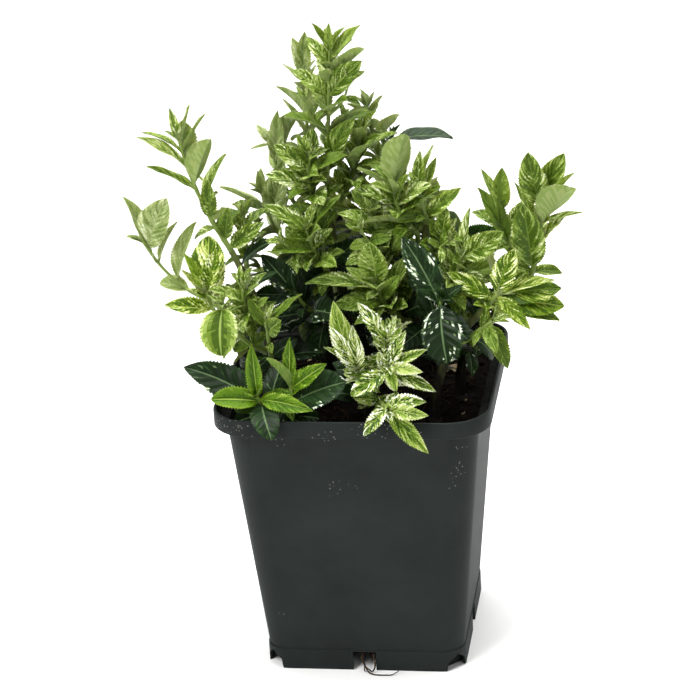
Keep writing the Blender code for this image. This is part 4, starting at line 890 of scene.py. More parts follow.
def leaf_material(name, colour, roughness, relief):
    """A leaf colour with the fine cells of its skin in relief."""
    made, tree, shader = new_material(name, srgb(*colour), roughness, LEAF_SOCKETS)
    cells = on_object(tree, "TexVoronoi", Scale=2600.0, feature="F1")
    link_bump(tree, shader, cells.outputs["Distance"], relief, 0.00006)
    return made


def leaf_materials():
    made = []
    for kind in KINDS:
        gloss = 0.4 if kind == "deep" else 0.48
        for tone, colour in enumerate(LEAF_TONES[kind]):
            made.append(leaf_material(f"leaf_{kind}_{tone}", colour, gloss + 0.03 * tone, 0.35))
        under = UNDERSIDES[kind]
        darker = [value * share for value, share in zip(under, UNDER_DARKER)]
        made.append(leaf_material(f"leaf_{kind}_under", under, 0.7, 0.5))
        made.append(leaf_material(f"leaf_{kind}_under_dark", darker, 0.7, 0.5))
    return made


def fine_outline(rise, aspect):
    """Half the fine blade's width at a share of its own length, against its widest."""
    broad = min(max((aspect - LEAF_ASPECT) / 0.18, 0), 1)
    low, high = 0.66, POINTED - BLUNT * broad
    widest = low / (low + high)
    rise = np.clip(rise, 0, 1)
    return (rise / widest) ** low * ((1 - rise) / (1 - widest)) ** high


class FineLeaf:
    """The fine closed mesh of one leaf, with a colour for each face.

    Its rows of faces climb from the midrib to the margin as the side veins do, so that the streaks,
    which follow the rows, do too.
    """

    def __init__(self, leaf, kind, draw):
        self.leaf = leaf
        self.kind = kind
        small = leaf.length < ROWS[1][0]
        large = leaf.length >= ROWS[4][0]
        self.top = SMALL_TOP_COLUMNS if small else LARGE_TOP_COLUMNS if large else TOP_COLUMNS
        under = SMALL_UNDER_COLUMNS if small else LARGE_UNDER_COLUMNS if large else UNDER_COLUMNS
        self.across = np.array(self.top + under)
        self.rows = next(rows for longest, rows in ROWS if leaf.length < longest)
        self.seed = draw.uniform(0, 500)
        self.fold = math.radians(LEAF_FOLD * (1 - OLD_FLATNESS * leaf.age) + draw.uniform(-4, 8))
        self.wave = leaf.length * draw.uniform(0.006, 0.02)
        self.waves = draw.uniform(1.3, 2.3)
        self.phase = draw.uniform(0, FULL_TURN), draw.uniform(0, FULL_TURN)
        self.twist = math.radians(draw.uniform(-12, 12))
        self.sway = leaf.length * draw.uniform(-0.035, 0.035)
        self.level = draw.gauss(0, 0.35)
        self.contrast = draw.uniform(0.25, 1.3)
        self.streaks = draw.uniform(16, 24)
        self.drift = draw.uniform(2.5, 4.5)
        self.flecked = (draw.random() < FLECKED_SHARE and not large) or (large and leaf.root.y < 0)
        self.rounded = ROUND_MARGIN if leaf.half_width > ROUND_SHARE * leaf.length and leaf.age < 1 else 0
        self.fleck_level = LARGE_FLECK_LEVEL if large and leaf.root.x > 0 else FLECK_LEVEL

    def places(self):
        """How far along the blade each point lies, from below 0 on the petiole to 1 at the tip."""
        size = np.abs(self.across)
        blade = np.linspace(0, 1, self.rows + 1)
        evened = blade - 0.22 * np.sin(np.pi * blade) / np.pi * VEIN_SLANT
        places = evened[:, None] + VEIN_SLANT * size[None, :] * (evened * (1 - evened))[:, None]
        peak = (np.arange(self.rows + 1) % 2 == 1)[:, None] & (size == 1)[None, :]
        places = places + peak * 0.3 / self.rows * (1 - evened[:, None])
        stalk = np.array(STALK)[:, None] * np.ones(len(size))[None, :]
        return np.vstack([stalk, places])

    def rings(self):
        """Points of every ring: across the top from one margin to the other, and back underneath."""
        leaf = self.leaf
        rise = self.places()
        size = np.abs(self.across)[None, :]
        under = np.arange(len(self.across)) >= len(self.top)
        shares = np.where(rise < 0, (1 + rise) * PETIOLE_SHARE, PETIOLE_SHARE + rise * (1 - PETIOLE_SHARE))
        width = leaf.half_width * fine_outline(rise, 2 * leaf.half_width / leaf.length)
        toothed = min(TOOTH_DEPTH / leaf.half_width, MOST_TOOTH_SHARE)
        tooth = np.where(np.arange(len(rise)) % 2 == 0, 1 + toothed, 1 - toothed)[:, None]
        width = np.where((size == 1) & (rise > 0.05) & (rise < 0.98), width * tooth, width)
        petiole = leaf.length * PETIOLE_WIDTH_SHARE
        width = np.maximum(width, petiole * np.clip(1 - rise * 6, 0, 1))
        span = width * self.across[None, :]
        blade = np.clip(rise * 8, 0, 1)
        row = np.linspace(-0.1, 1, len(rise))[:, None]
        vein = np.sin(np.pi * (VEIN_PAIRS + 1) * row) ** 2
        phase = np.where(self.across < 0, self.phase[0], self.phase[1])[None, :]
        lift = np.abs(span) * math.sin(self.fold) * (1.2 - 0.3 * size)
        lift = lift + blade * self.wave * size**2 * np.sin(2 * np.pi * self.waves * rise + phase)
        lift = lift + blade * 0.014 * leaf.length * vein * np.sin(np.pi * size)
        thick = max(leaf.length / 75, 0.16)
        belly = thick * (1 + 1.1 * (size == 0)) * blade + (1 - blade) * petiole * 1.5
        lift = np.where(under[None, :], lift - belly, lift)
        bend = max(leaf.bend, 0.01)
        angle = (bend * shares)[:, :, None]
        along, face, side = (np.array(way)[None, None, :] for way in (leaf.along, leaf.face, leaf.side))
        arc = along * np.sin(angle) - face * (1 - np.cos(angle))
        axis = np.array(leaf.root) + arc * leaf.length / bend
        axis = axis + side * (self.sway * np.sin(np.pi * shares))[:, :, None]
        facing = face * np.cos(angle) + along * np.sin(angle)
        turn = (self.twist * np.clip(rise, 0, 1))[:, :, None]
        sideways = side * np.cos(turn) + facing * np.sin(turn)
        upright = facing * np.cos(turn) - side * np.sin(turn)
        points = axis + sideways * (span * math.cos(self.fold))[:, :, None]
        return points + upright * lift[:, :, None]

    def tone(self, row, across):
        """Which of its kind's colours a face of the upper side has."""
        pale, streaked, blotched, margin = MOTTLING[self.kind]
        size = abs(across)
        share = (row - len(STALK)) / self.rows
        flank = 9.0 if across < 0 else 0.0
        if size < MIDRIB_REACH:
            return 3 if self.kind in ("deep", "lime") else 1 + (self.level > 0)
        place = Vector((share * self.streaks - self.drift * size, size * 2.0 + flank, self.seed))
        streak = noise.noise(place) + 0.45 * noise.noise(place * 2.3)
        blotch = noise.noise(Vector((share * 3.4 - size, size * 1.3 + flank, self.seed + 40)))
        level = pale + self.level + self.contrast * (streaked * streak + blotched * blotch)
        level += (margin + self.rounded) * (size - 0.5) - AGE_DARKER * self.leaf.age * (self.kind != "deep")
        if self.kind == "deep":
            plain = min(max(int(level), 0), 2)
            vein = (share * VEIN_PAIRS) % 1 < 0.9 * VEIN_PAIRS / self.rows
            if vein and size < 0.8 and self.rows > 14:
                return min(plain + 1, 2)
            lengthwise = noise.noise(Vector((share * 7, size * 9 + flank, self.seed + 120)))
            speck = noise.noise(Vector((share * 24, size * 9 + flank, self.seed + 160)))
            fleck = lengthwise + speck * 0.55 + blotch * 0.7 + size * 0.6
            if self.flecked and fleck > self.fleck_level:
                return 4 if fleck > self.fleck_level + FLECK_EDGE else 3
            return plain
        return min(max(int(level), 0), TONES - 1)

    def under_tone(self, row, across):
        """Which of its kind's two underside colours a face of the lower side has."""
        share = (row - len(STALK)) / self.rows
        size = abs(across)
        flank = 5.0 if across < 0 else 0.0
        place = Vector((share * 15 - self.drift * size, size * 1.6 + flank, self.seed + 80))
        return TONES + (noise.noise(place) + 0.4 * size > 0.12)

    def build(self):
        """Points, faces and each face's material number."""
        points = self.rings()
        count = len(self.across)
        inner = points[1:-1].reshape(-1, 3)
        middle = len(self.top) + len(self.across[len(self.top):]) // 2
        ends = np.array([points[0, middle], points[-1, middle]])
        first = KINDS.index(self.kind) * (TONES + 2)
        faces = []
        finishes = []
        for ring in range(len(points) - 3):
            faces += band_faces(ring * count, count)
            for k in range(count):
                if k < len(self.top) - 1:
                    tone = self.tone(ring + 1, (self.across[k] + self.across[k + 1]) / 2)
                    finishes.append(first + (tone if ring >= len(STALK) else PETIOLE_TONE))
                else:
                    middle_of_face = (self.across[k] + self.across[(k + 1) % count]) / 2
                    finishes.append(first + self.under_tone(ring + 1, middle_of_face))
        root, tip = len(inner), len(inner) + 1
        last = (len(points) - 3) * count
        for k in range(count):
            follow = (k + 1) % count
            faces.append((follow, k, root))
            faces.append((last + k, last + follow, tip))
            finishes += [first + PETIOLE_TONE, first + (2 if k < len(self.top) - 1 else TONES)]
        return np.vstack([inner, ends]), faces, finishes


class Joiner:
    """Gathers many closed meshes into one object."""

    def __init__(self):
        self.points = []
        self.faces = []
        self.finishes = []
        self.count = 0

    def add(self, points, faces, finishes=None):
        self.points.append(np.array([tuple(point) for point in points], float))
        self.faces += [tuple(i + self.count for i in face) for face in faces]
        self.finishes += finishes if finishes is not None else [0] * len(faces)
        self.count += len(points)

    def add_solid(self, points, faces):
        """Adds a closed mesh of one finish, whichever way its faces look."""
        self.add(points, outward(points, faces))

    def triangles(self):
        return sum(len(face) - 2 for face in self.faces)

    def object(self, name, materials, sharp=180):
        mesh = bpy.data.meshes.new(name)
        mesh.from_pydata((np.vstack(self.points) * MM).tolist(), [], self.faces)
        for finish in materials:
            mesh.materials.append(finish)
        mesh.polygons.foreach_set("material_index", self.finishes)
        mesh.polygons.foreach_set("use_smooth", [True] * len(mesh.polygons))
        piece = bpy.data.objects.new(name, mesh)
        bpy.context.scene.collection.objects.link(piece)
        if sharp < 180:
            mesh.set_sharp_from_angle(angle=math.radians(sharp))
        return piece


def outward(points, faces):
    """The faces turned so that the closed mesh's normals point out."""
    corners = np.array([tuple(point) for point in points])
    volume = 0.0
    for face in faces:
        first = corners[face[0]]
        for second, third in zip(face[1:-1], face[2:]):
            volume += np.dot(first, np.cross(corners[second], corners[third]))
    return faces if volume > 0 else [tuple(reversed(face)) for face in faces]


def finish_piece(piece, slot, *nodes):
    """Sets what a piece rides on and hides the nodes that it replaces; its slot is not used."""
    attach(piece, "root")
    if nodes:
        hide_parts(*nodes)


def add_second_flush(foliage):
    """More leaves on the same twigs, between those of the source, wherever there is room for them."""
    for name, row in SHOOTS.items():
        draw = Random(row.seed + FLUSH_SEED)
        main_line, *side_lines = foliage.shoots[name]["lines"]
        # Line, pairs, longest leaf against the source's, further turn, bare share of the line
        flushes = [
            (main_line, row.pairs + 1, 0.72, 45, BARE_SHARE),
            (main_line, 1, 0.75, 20, 0.06),
            (main_line, HUB_PAIRS if row.colour == "cream" else 0, 0.6, 20, 0.5),
        ]
        flushes += [(line, 2, 0.5, 0, 0.45) for line in side_lines]
        if name in OPEN_SHOOTS:
            flushes = [(main_line, row.pairs // 2, 0.6, 45, 0.6)]
        for line, pairs, size, turn, bare in flushes:
            longest = row.longest * size
            foliage.add_pairs(name, line, pairs, longest, row.turn + turn, 0, row.colour, draw, bare)


def inside_plant(tip):
    """Whether an old leaf's tip lies among the stems, and not over the peat that shows."""
    right, front, high = BARE_CORNER
    over_bare = tip.x > right and tip.y < front and tip.z < high
    return max(abs(tip.x), abs(tip.y)) <= DARK_REACH and not over_bare


def add_dark_leaves(foliage):
    """Old dark leaves low on the stems, inside the plant."""
    for number, name in enumerate(STEMS):
        draw = Random(DARK_SEED + number)
        line = stem_line(name)
        foliage.shoots[name] = {"lines": [], "leaves": []}
        for step in range(9):
            share = 0.3 + 0.075 * step
            for half in (0, 180):
                turn = 90 * step + half + draw.uniform(-25, 25)
                size = draw.uniform(12, 17)
                for scale in (1, 0.8, 0.62):
                    leaf = leaf_on(line, share, turn, draw.uniform(50, 80), size * scale, 1.0, "deep", draw)
                    leaf.root += leaf.along * (stem_radius(name, share) * 0.9)
                    if inside_plant(leaf.point(1, 0)) and foliage.free(name, leaf):
                        foliage.keep(name, leaf)
                        break


def add_new_growth(foliage):
    """Small leaves in the axils of larger ones, where there is room, and at the twigs' tips."""
    draw = Random(AXIL_SEED)
    for name, row in SHOOTS.items():
        shoot = foliage.shoots[name]
        for leaf in list(shoot["leaves"]):
            if leaf.length < 9 or leaf.age >= 1 or draw.random() < 0.35:
                continue
            twig = min(shoot["lines"], key=lambda line: min((point - leaf.root).length for point in line))
            way = (twig[-1] - twig[0]).normalized()
            size = draw.uniform(3.2, 6.0)
            for half in (-1, 1):
                along = leaf.along * 0.45 + way * 0.8 + leaf.side * half * draw.uniform(0.25, 0.6)
                face = leaf.face * 0.6 - leaf.along * 0.8 + way * 0.2
                bud = Leaf(leaf.root, along, face, size, LEAF_ASPECT * 1.05, math.radians(25), 0, row.colour)
                if foliage.free(name, bud):
                    foliage.keep(name, bud)
        for line in shoot["lines"]:
            way = (line[-1] - line[-2]).normalized()
            first, second = across_directions(way, line)
            for step in range(4):
                out = round_way(first, second, math.pi / 2 * step + draw.uniform(-0.3, 0.3))
                along = way + out * (0.28 if step % 2 else 0.5)
                length = 4.2 if step % 2 else 6.0
                bud = Leaf(line[-1] - way * 0.4, along, way - out, length, 0.4, 0.3, 0, row.colour)
                if in_reach(bud.point(1, 0)):
                    shoot["leaves"].append(bud)


def make_leaves(foliage):
    """The fine leaves of every shoot, in a few pieces that stand for the shoots' plain solids."""
    materials = leaf_materials()
    joiner = Joiner()
    nodes = []
    number = 1
    last = list(foliage.shoots)[-1]
    for name, shoot in foliage.shoots.items():
        draw = Random(len(name) * 100 + len(shoot["leaves"]))
        for leaf in shoot["leaves"]:
            kind = "deep" if leaf.age >= 1 else SHOOTS[name].colour
            joiner.add(*FineLeaf(leaf, kind, draw).build())
        if name in SHOOTS:
            nodes.append("shoot_" + name)
        if joiner.triangles() > FULL_PIECE or name == last:
            piece = joiner.object(f"leaves_{number}", materials, LEAF_SHARP)
            finish_piece(piece, "leaves_fresh", *nodes)
            joiner = Joiner()
            nodes = []
            number += 1


# Twigs and stems
TWIG_STEP = 1.1
NODE_SWELL = 0.28  # how much thicker a twig is where its leaves start
NODE_REACH = 1.1
TWIG_FINE_SIDES = 9
BARK_STEP = 0.6
BARK_SIDES = 18
SCAR_SPACING = 9  # between the rings of old leaf scars on a stem


def line_length(line):
    return sum((b - a).length for a, b in zip(line, line[1:]))


def smooth_line(line, steps):
    """A finer line through an evenly stepped one, rounded at its corners."""
    count = len(line)
    fine = []
    for i in range(steps + 1):
        place = i / steps * (count - 1)
        k = min(int(place), count - 2)
        t = place - k
        before = line[max(k - 1, 0)]
        after = line[min(k + 2, count - 1)]
        here, there = line[k], line[k + 1]
        start_way = (there - before) / 2
        end_way = (after - here) / 2
        point = here * (2 * t**3 - 3 * t**2 + 1) + start_way * (t**3 - 2 * t**2 + t)
        fine.append(point + there * (3 * t**2 - 2 * t**3) + end_way * (t**3 - t**2))
    return fine


def round_tube(line, radii, sides, bump, seed):
    """A closed tube with many sides and an uneven surface."""
    points, faces = tube(line, radii, sides)
    for i, point in enumerate(points):
        centre = line[i // sides]
        swell = noise.noise(Vector((point.x * 1.4, point.y * 1.4, point.z * 0.7 + seed)))
        fine = noise.noise(point * 3.1)
        points[i] = centre + (point - centre) * (1 + bump * (swell + 0.5 * fine))
    return points, faces


def rooted(fine, name):
    """The twig's line, run on at its foot to the middle of its stem."""
    stem, share = SHOOTS[name][:2]
    centre = along_line(stem_line(stem), share)[0]
    if share == 1:
        centre = centre - UP * 1.0
    steps = max(int((fine[0] - centre).length / TWIG_STEP), 1)
    return [centre + (fine[0] - centre) * (i / steps) for i in range(steps)] + fine


def make_twigs(foliage):
    """Green twigs with a swelling below each pair of leaves."""
    joiner = Joiner()
    for name in SHOOTS:
        shoot = foliage.shoots[name]
        main_line, *side_lines = shoot["lines"]
        roots = [leaf.root for leaf in shoot["leaves"] if leaf.length > 7]
        for line, scale in [(main_line, 1.0)] + [(side, 0.75) for side in side_lines]:
            steps = max(int(line_length(line) / TWIG_STEP), 6)
            fine = smooth_line(line, steps)
            if line is main_line:
                fine = rooted(fine, name)
            extra = len(fine) - 1 - steps
            radii = []
            for i, point in enumerate(fine):
                radius = twig_radius(max(i - extra, 0) / steps) * scale
                near = min(((root - point).length for root in roots), default=9)
                radii.append(radius * (1 + NODE_SWELL * math.exp(-((near / NODE_REACH) ** 2))))
            joiner.add_solid(*round_tube(fine, radii, TWIG_FINE_SIDES, 0.05, len(name)))
    made, tree, shader = new_material("green_twig", srgb(108, 128, 52), 0.5, {})
    grain = on_object(tree, "TexNoise", Scale=900.0, Detail=4.0)
    link_bump(tree, shader, grain.outputs["Fac"], 0.4, 0.0002)
    finish_piece(joiner.object("twigs", [made]), "leaves_fresh")


def bark_material():
    """Young bark with lengthwise streaks, greener above and darker near the peat: the darkening low down is
    partly the older bark's browner colour and partly painted shade of the plant's inside.
    """
    made, tree, shader = new_material("young_bark", srgb(120, 128, 74), 0.7, {"Specular IOR Level": 0.15})
    stretch = on_object(tree, "Mapping", Scale=(1.0, 1.0, 0.22))
    streaks = add_node(tree, "TexNoise", Scale=700.0, Detail=6.0, Roughness=0.6)
    tree.links.new(stretch.outputs["Vector"], streaks.inputs["Vector"])
    patches = on_object(tree, "TexNoise", Scale=110.0, Detail=3.0)
    half = maths(tree, "MULTIPLY", patches.outputs["Fac"], 0.5)
    uneven = maths(tree, "MULTIPLY_ADD", streaks.outputs["Fac"], 0.5, half)
    # Darker from 150 mm down to 90 mm above the ground: partly the older bark's brown, partly painted shade
    # inside the plant
    greening_and_painted_shade = maths(tree, "ADD", uneven, by_height(tree, 0.09, 0.15, -0.22, 0.25))
    tones = colour_ramp(tree, greening_and_painted_shade, 0.32, (24, 20, 13), 0.8, (98, 108, 56))
    tree.links.new(tones, shader.inputs["Base Color"])
    link_bump(tree, shader, streaks.outputs["Fac"], 0.8, 0.0004)
    return made


def make_stem_bark():
    """The stems with their bark's ridges, leaf scars and flared feet."""
    joiner = Joiner()
    for number, name in enumerate(STEMS):
        line = stem_line(name)
        line.insert(0, line[0] - UP * (FOOT_RISE + 0.25))
        steps = max(int(line_length(line) / BARK_STEP), 20)
        fine = smooth_line(line, steps)
        radii = [stem_radius(name, i / steps) for i in range(steps + 1)]
        points, faces = tube(fine, radii, BARK_SIDES)
        for i, point in enumerate(points):
            row, side = divmod(i, BARK_SIDES)
            centre = fine[row]
            angle = math.tau * side / BARK_SIDES
            around = Vector((math.cos(angle) * 1.7, math.sin(angle) * 1.7, row * 0.06 + number * 11))
            ridge = abs(noise.noise(around * 1.6))
            scar = math.exp(-((row * BARK_STEP % SCAR_SPACING - SCAR_SPACING / 2) ** 2) / 0.5) * 0.12
            swell = 1.02 + scar - 0.16 * ridge + 0.05 * noise.noise(point * 2.2)
            points[i] = centre + (point - centre) * swell
        joiner.add_solid(points, faces)
    finish_piece(joiner.object("stem_bark", [bark_material()]), "bark", *STEMS)


# Fine pot
FINE_CORNER_STEPS = 14
LIP_STEPS = 4
POT_SHARP = 32  # the least angle in degrees of an edge that looks sharp on the pot
DARK_COAT_BELOW = 20  # how far the darker inner coat reaches below the root ball's top
DARK_COAT_CLEARANCE = 0.55  # and how far below the rim's top it ends
INWARD = -0.3  # a face looks inward when its normal has less than this outward
LIP_ROUND = 0.5
BAND_ROUND = 0.35


def fine_ring(half, corner, height):
    """Points round a square with finely rounded corners."""
    ring = []
    for quarter in range(4):
        middle = Vector((half - corner, half - corner, 0))
        turn = Matrix.Rotation(math.pi / 2 * quarter, 3, "Z")
        for step in range(FINE_CORNER_STEPS + 1):
            angle = math.pi / 2 * step / FINE_CORNER_STEPS
            arc = Vector((math.cos(angle), math.sin(angle), 0)) * corner
            ring.append(turn @ (middle + arc) + UP * height)
    return ring


def rim_rings(centre_out, centre_up, radius, start, end):
    """Rings of the rim along an arc of the pot's section, between angles in degrees from outward."""
    rings = []
    for step in range(LIP_STEPS + 1):
        angle = math.radians(start + (end - start) * step / LIP_STEPS)
        out = centre_out + radius * math.cos(angle)
        rings.append(fine_ring(out, RIM_CORNER - RIM_HALF + out, centre_up + radius * math.sin(angle)))
    return rings


def wall_ring(height, inset):
    return fine_ring(wall_half(height) - inset, wall_corner(height) - inset, height)


def fine_pot_rings():
    """The pot's section from the floor's underside round the outside and in to the floor."""
    band_foot = POT_HEIGHT - RIM_BAND
    skirt = (
        (SKIRT_HALF - WALL, SKIRT_CORNER - WALL, FLOOR_TOP - WALL),
        (SKIRT_HALF - WALL, SKIRT_CORNER - WALL, 0.15),
        (SKIRT_HALF - WALL + 0.15, SKIRT_CORNER - WALL, 0),
        (SKIRT_HALF - 0.2, SKIRT_CORNER, 0),
        (SKIRT_HALF, SKIRT_CORNER, 0.2),
        (SKIRT_HALF, SKIRT_CORNER, CREASE_HEIGHT - CREASE_DEPTH),
        (SKIRT_HALF - 0.05, SKIRT_CORNER, CREASE_HEIGHT - CREASE_DEPTH * 0.8),
    )
    rings = [fine_ring(*sizes) for sizes in skirt]
    heights = [CREASE_HEIGHT - CREASE_DEPTH * 0.6, CREASE_HEIGHT, CREASE_HEIGHT + 0.6]
    heights += [CREASE_HEIGHT + (band_foot - CREASE_HEIGHT) * step / 6 for step in range(1, 6)]
    rings += [wall_ring(height, 0) for height in (*heights, band_foot - 0.5)]
    rings.append(fine_ring(WALL_TOP_HALF + 0.3, WALL_TOP_CORNER, band_foot))
    rings += rim_rings(RIM_HALF - BAND_ROUND, band_foot + BAND_ROUND, BAND_ROUND, -90, 0)
    rings += rim_rings(RIM_HALF - LIP_ROUND, POT_HEIGHT - LIP_ROUND, LIP_ROUND, 0, 180)
    inner = RIM_HALF - WALL
    ledge = band_foot + WALL
    rings.append(fine_ring(inner, RIM_CORNER - WALL, ledge + LIP_ROUND))
    rings += rim_rings(inner - LIP_ROUND, ledge + LIP_ROUND, LIP_ROUND, 0, -90)[1:]
    rings.append(fine_ring(WALL_TOP_HALF - WALL + 0.2, WALL_TOP_CORNER - WALL, ledge))
    rings += [wall_ring(height, WALL) for height in (band_foot - 0.2, 60, 30, FLOOR_TOP)]
    return rings


def rectangle(half, low, high):
    return [(-half, low), (half, low), (half, high), (-half, high)]


def pot_openings():
    """The slots, drain holes and corner notches, as the CAD source cuts them."""
    side = NOTCH_HALF_WIDTH
    shoulder = side * NOTCH_TOP_SHARE
    low = -CUT_BELOW
    slot = rectangle(SLOT_WIDTH / 2, low, SLOT_HEIGHT)
    hole = rectangle(SLOT_WIDTH / 2, HOLE_FOOT, FLOOR_TOP + CUT_BELOW)
    notch = [(-side, low), (side, low), (shoulder, NOTCH_SIDE_HEIGHT), (0, NOTCH_HEIGHT)]
    notch.append((-shoulder, NOTCH_SIDE_HEIGHT))
    hole_reach = wall_half(FLOOR_TOP) - WALL - HOLE_DEPTH
    corner_reach = (SKIRT_HALF - SKIRT_CORNER) * math.sqrt(2) + SKIRT_CORNER
    return (
        (slot, SLOT_CUT_DEPTH, SKIRT_HALF - SLOT_CUT_DEPTH * 2 / 3, 0),
        (hole, HOLE_DEPTH, hole_reach, 0),
        (notch, NOTCH_CUT_DEPTH, corner_reach - NOTCH_CUT_DEPTH * 0.4, math.pi / 4),
    )


def pot_web():
    """The web across a corner under the floor."""
    inner = SKIRT_HALF - WALL / 2
    across = (inner - WEB_REACH) * math.sqrt(2) / 2 + WALL / 3
    out = (inner + WEB_REACH) / math.sqrt(2)
    return rectangle(across, 0.1, FLOOR_TOP - WALL / 2), WALL, out - WALL, math.pi / 4


def join_or_cut(pot, prisms, operation):
    """Joins prisms to each side or corner of the pot, or cuts them out of it.

    A prism has an outline in x and z, a length outward, how far out it starts, and its turn from a side.
    """
    helpers = bpy.data.collections.new("pot_helpers")
    bpy.context.scene.collection.children.link(helpers)
    for quarter in range(4):
        for outline, length, out, turn in prisms:
            place = Matrix.Rotation(math.pi / 2 * quarter + turn, 3, "Z")
            points = [Vector((x, y, z)) for y in (0, length) for x, z in outline]
            count = len(outline)
            # The ends wind against the sides, which leaves small faults in the mesh under the floor
            ends = [tuple(range(count)), tuple(reversed(range(count, 2 * count)))]
            joiner = Joiner()
            moved = [place @ (point + Vector((0, out, 0))) for point in points]
            joiner.add_solid(moved, ends + band_faces(0, count))
            helper = joiner.object("prism", [])
            bpy.context.scene.collection.objects.unlink(helper)
            helpers.objects.link(helper)
    modifier = pot.modifiers.new("cut", "BOOLEAN")
    modifier.operand_type = "COLLECTION"
    modifier.collection = helpers
    modifier.operation = operation
    modifier.solver = "EXACT"
    graph = bpy.context.evaluated_depsgraph_get()
    pot_mesh = bpy.data.meshes.new_from_object(pot.evaluated_get(graph))
    pot.modifiers.clear()
    pot.data = pot_mesh
    for helper in list(helpers.objects):
        bpy.data.objects.remove(helper)
    bpy.data.collections.remove(helpers)


# Where peat dust clings to the pot's front, and how far round each place
DUST_PATCHES = ((-5, -43, 88), (7, -43, 90), (-34.5, -45, 92))
DUST_REACH = 9


def plastic_material():
    """Matt black plastic with a fine moulded grain, rubbed patches and specks of dust below the rim."""
    gloss = {"IOR": 1.2, "Specular IOR Level": 0.32}
    made, tree, shader = new_material("matt_black_plastic", srgb(17, 21, 21), 0.55, gloss)
    cloud = on_object(tree, "TexNoise", Scale=35.0, Detail=5.0, Roughness=0.6)
    specks = on_object(tree, "TexVoronoi", Scale=900.0, feature="F1")
    dirt = on_object(tree, "TexNoise", Scale=60.0, Detail=4.0)
    grain = on_object(tree, "TexNoise", Scale=1600.0, Detail=3.0)
    dustiness = maths(tree, "ADD", dirt.outputs["Fac"], by_height(tree, 0.074, 0.092, -0.03, 0.1))
    for patch in DUST_PATCHES:
        away = add_node(tree, "VectorMath", operation="DISTANCE")
        away.inputs[1].default_value = tuple(value * MM for value in patch)
        tree.links.new(object_place(tree), away.inputs[0])
        nearness = remapped(tree, away.outputs["Value"], 0.0, DUST_REACH * MM, 0.32, 0.0)
        dustiness = maths(tree, "ADD", dustiness, nearness)
    on_speck = maths(tree, "LESS_THAN", specks.outputs["Distance"], 0.2)
    dust = maths(tree, "MULTIPLY", on_speck, maths(tree, "GREATER_THAN", dustiness, 0.64))
    mix = add_node(tree, "Mix", data_type="RGBA")
    mix.inputs["B"].default_value = (*srgb(96, 98, 92), 1)
    tones = colour_ramp(tree, cloud.outputs["Fac"], 0.3, (27, 31, 30), 0.75, (36, 41, 40))
    tree.links.new(dust, mix.inputs["Factor"])
    tree.links.new(tones, mix.inputs["A"])
    tree.links.new(mix.outputs["Result"], shader.inputs["Base Color"])
    link_bump(tree, shader, grain.outputs["Fac"], 0.25, 0.0001)
    return made


def darken_inner_wall(pot):
    """A darker crumbly coat over the inside of the wall and the rim, above the root ball."""
    pot.data.materials.append(peat_material("dark_inner_coat", (9, 10, 8), (30, 31, 27), 300.0, 0.0002))
    for face in pot.data.polygons:
        centre = face.center / MM
        outwardness = (face.normal.x * centre.x + face.normal.y * centre.y) / math.hypot(centre.x, centre.y)
        ledge = face.normal.z > 0.7 and centre.z < POT_HEIGHT - RIM_BAND + 2 * WALL
        above_ball = SOIL_TOP - DARK_COAT_BELOW < centre.z < POT_HEIGHT - DARK_COAT_CLEARANCE
        # Every inward face and the ledge inside the rim, between these heights, gets the darker coat
        if above_ball and (outwardness < INWARD or ledge):
            face.material_index = 1


def make_fine_pot():
    """The pot with its true wall, rolled rim, openings and webs."""
    rings = fine_pot_rings()
    joiner = Joiner()
    joiner.add_solid([point for ring in rings for point in ring], loft_faces(len(rings[0]), len(rings)))
    pot = joiner.object("fine_pot", [plastic_material()])
    join_or_cut(pot, [pot_web()], "UNION")
    join_or_cut(pot, pot_openings(), "DIFFERENCE")
    pot.data.set_sharp_from_angle(angle=math.radians(POT_SHARP))
    darken_inner_wall(pot)
    finish_piece(pot, "black_plastic", "pot")


# Peat
SOIL_CELLS = 110
CRUMBS = 620
FIBRES = 90
CHIPS = 26
CHIP_CORNERS = 9
CHIP_SHARP = 40
BIG_CHIP = (28, 26, 11.0)  # the one that shows in the photo: x, y and its length
LITTER_SEED = 5


def peat_material(name, dark, light, scale, rise=0.0006):
    """Crumbly matter between two colours, with clumps in relief."""
    made, tree, shader = new_material(name, srgb(*dark), 0.95, {"Specular IOR Level": 0.06})
    clumps = on_object(tree, "TexNoise", Scale=scale, Detail=8.0, Roughness=0.7).outputs["Fac"]
    tones = colour_ramp(tree, clumps, 0.35, dark, 0.72, light)
    tree.links.new(tones, shader.inputs["Base Color"])
    link_bump(tree, shader, clumps, 0.9, rise)
    return made


def peat_top(x, y):
    """The height of the crumbly surface, which lies just over the flat top of the CAD root ball."""
    broad = noise.noise(Vector((x * 0.06, y * 0.06, 3.0))) * 0.9
    lumps = noise.noise(Vector((x * 0.28, y * 0.28, 8.0))) * 0.8
    crumbs = abs(noise.noise(Vector((x * 0.9, y * 0.9, 1.0)))) * 0.8
    return SOIL_TOP + (broad + lumps + crumbs + 0.1)


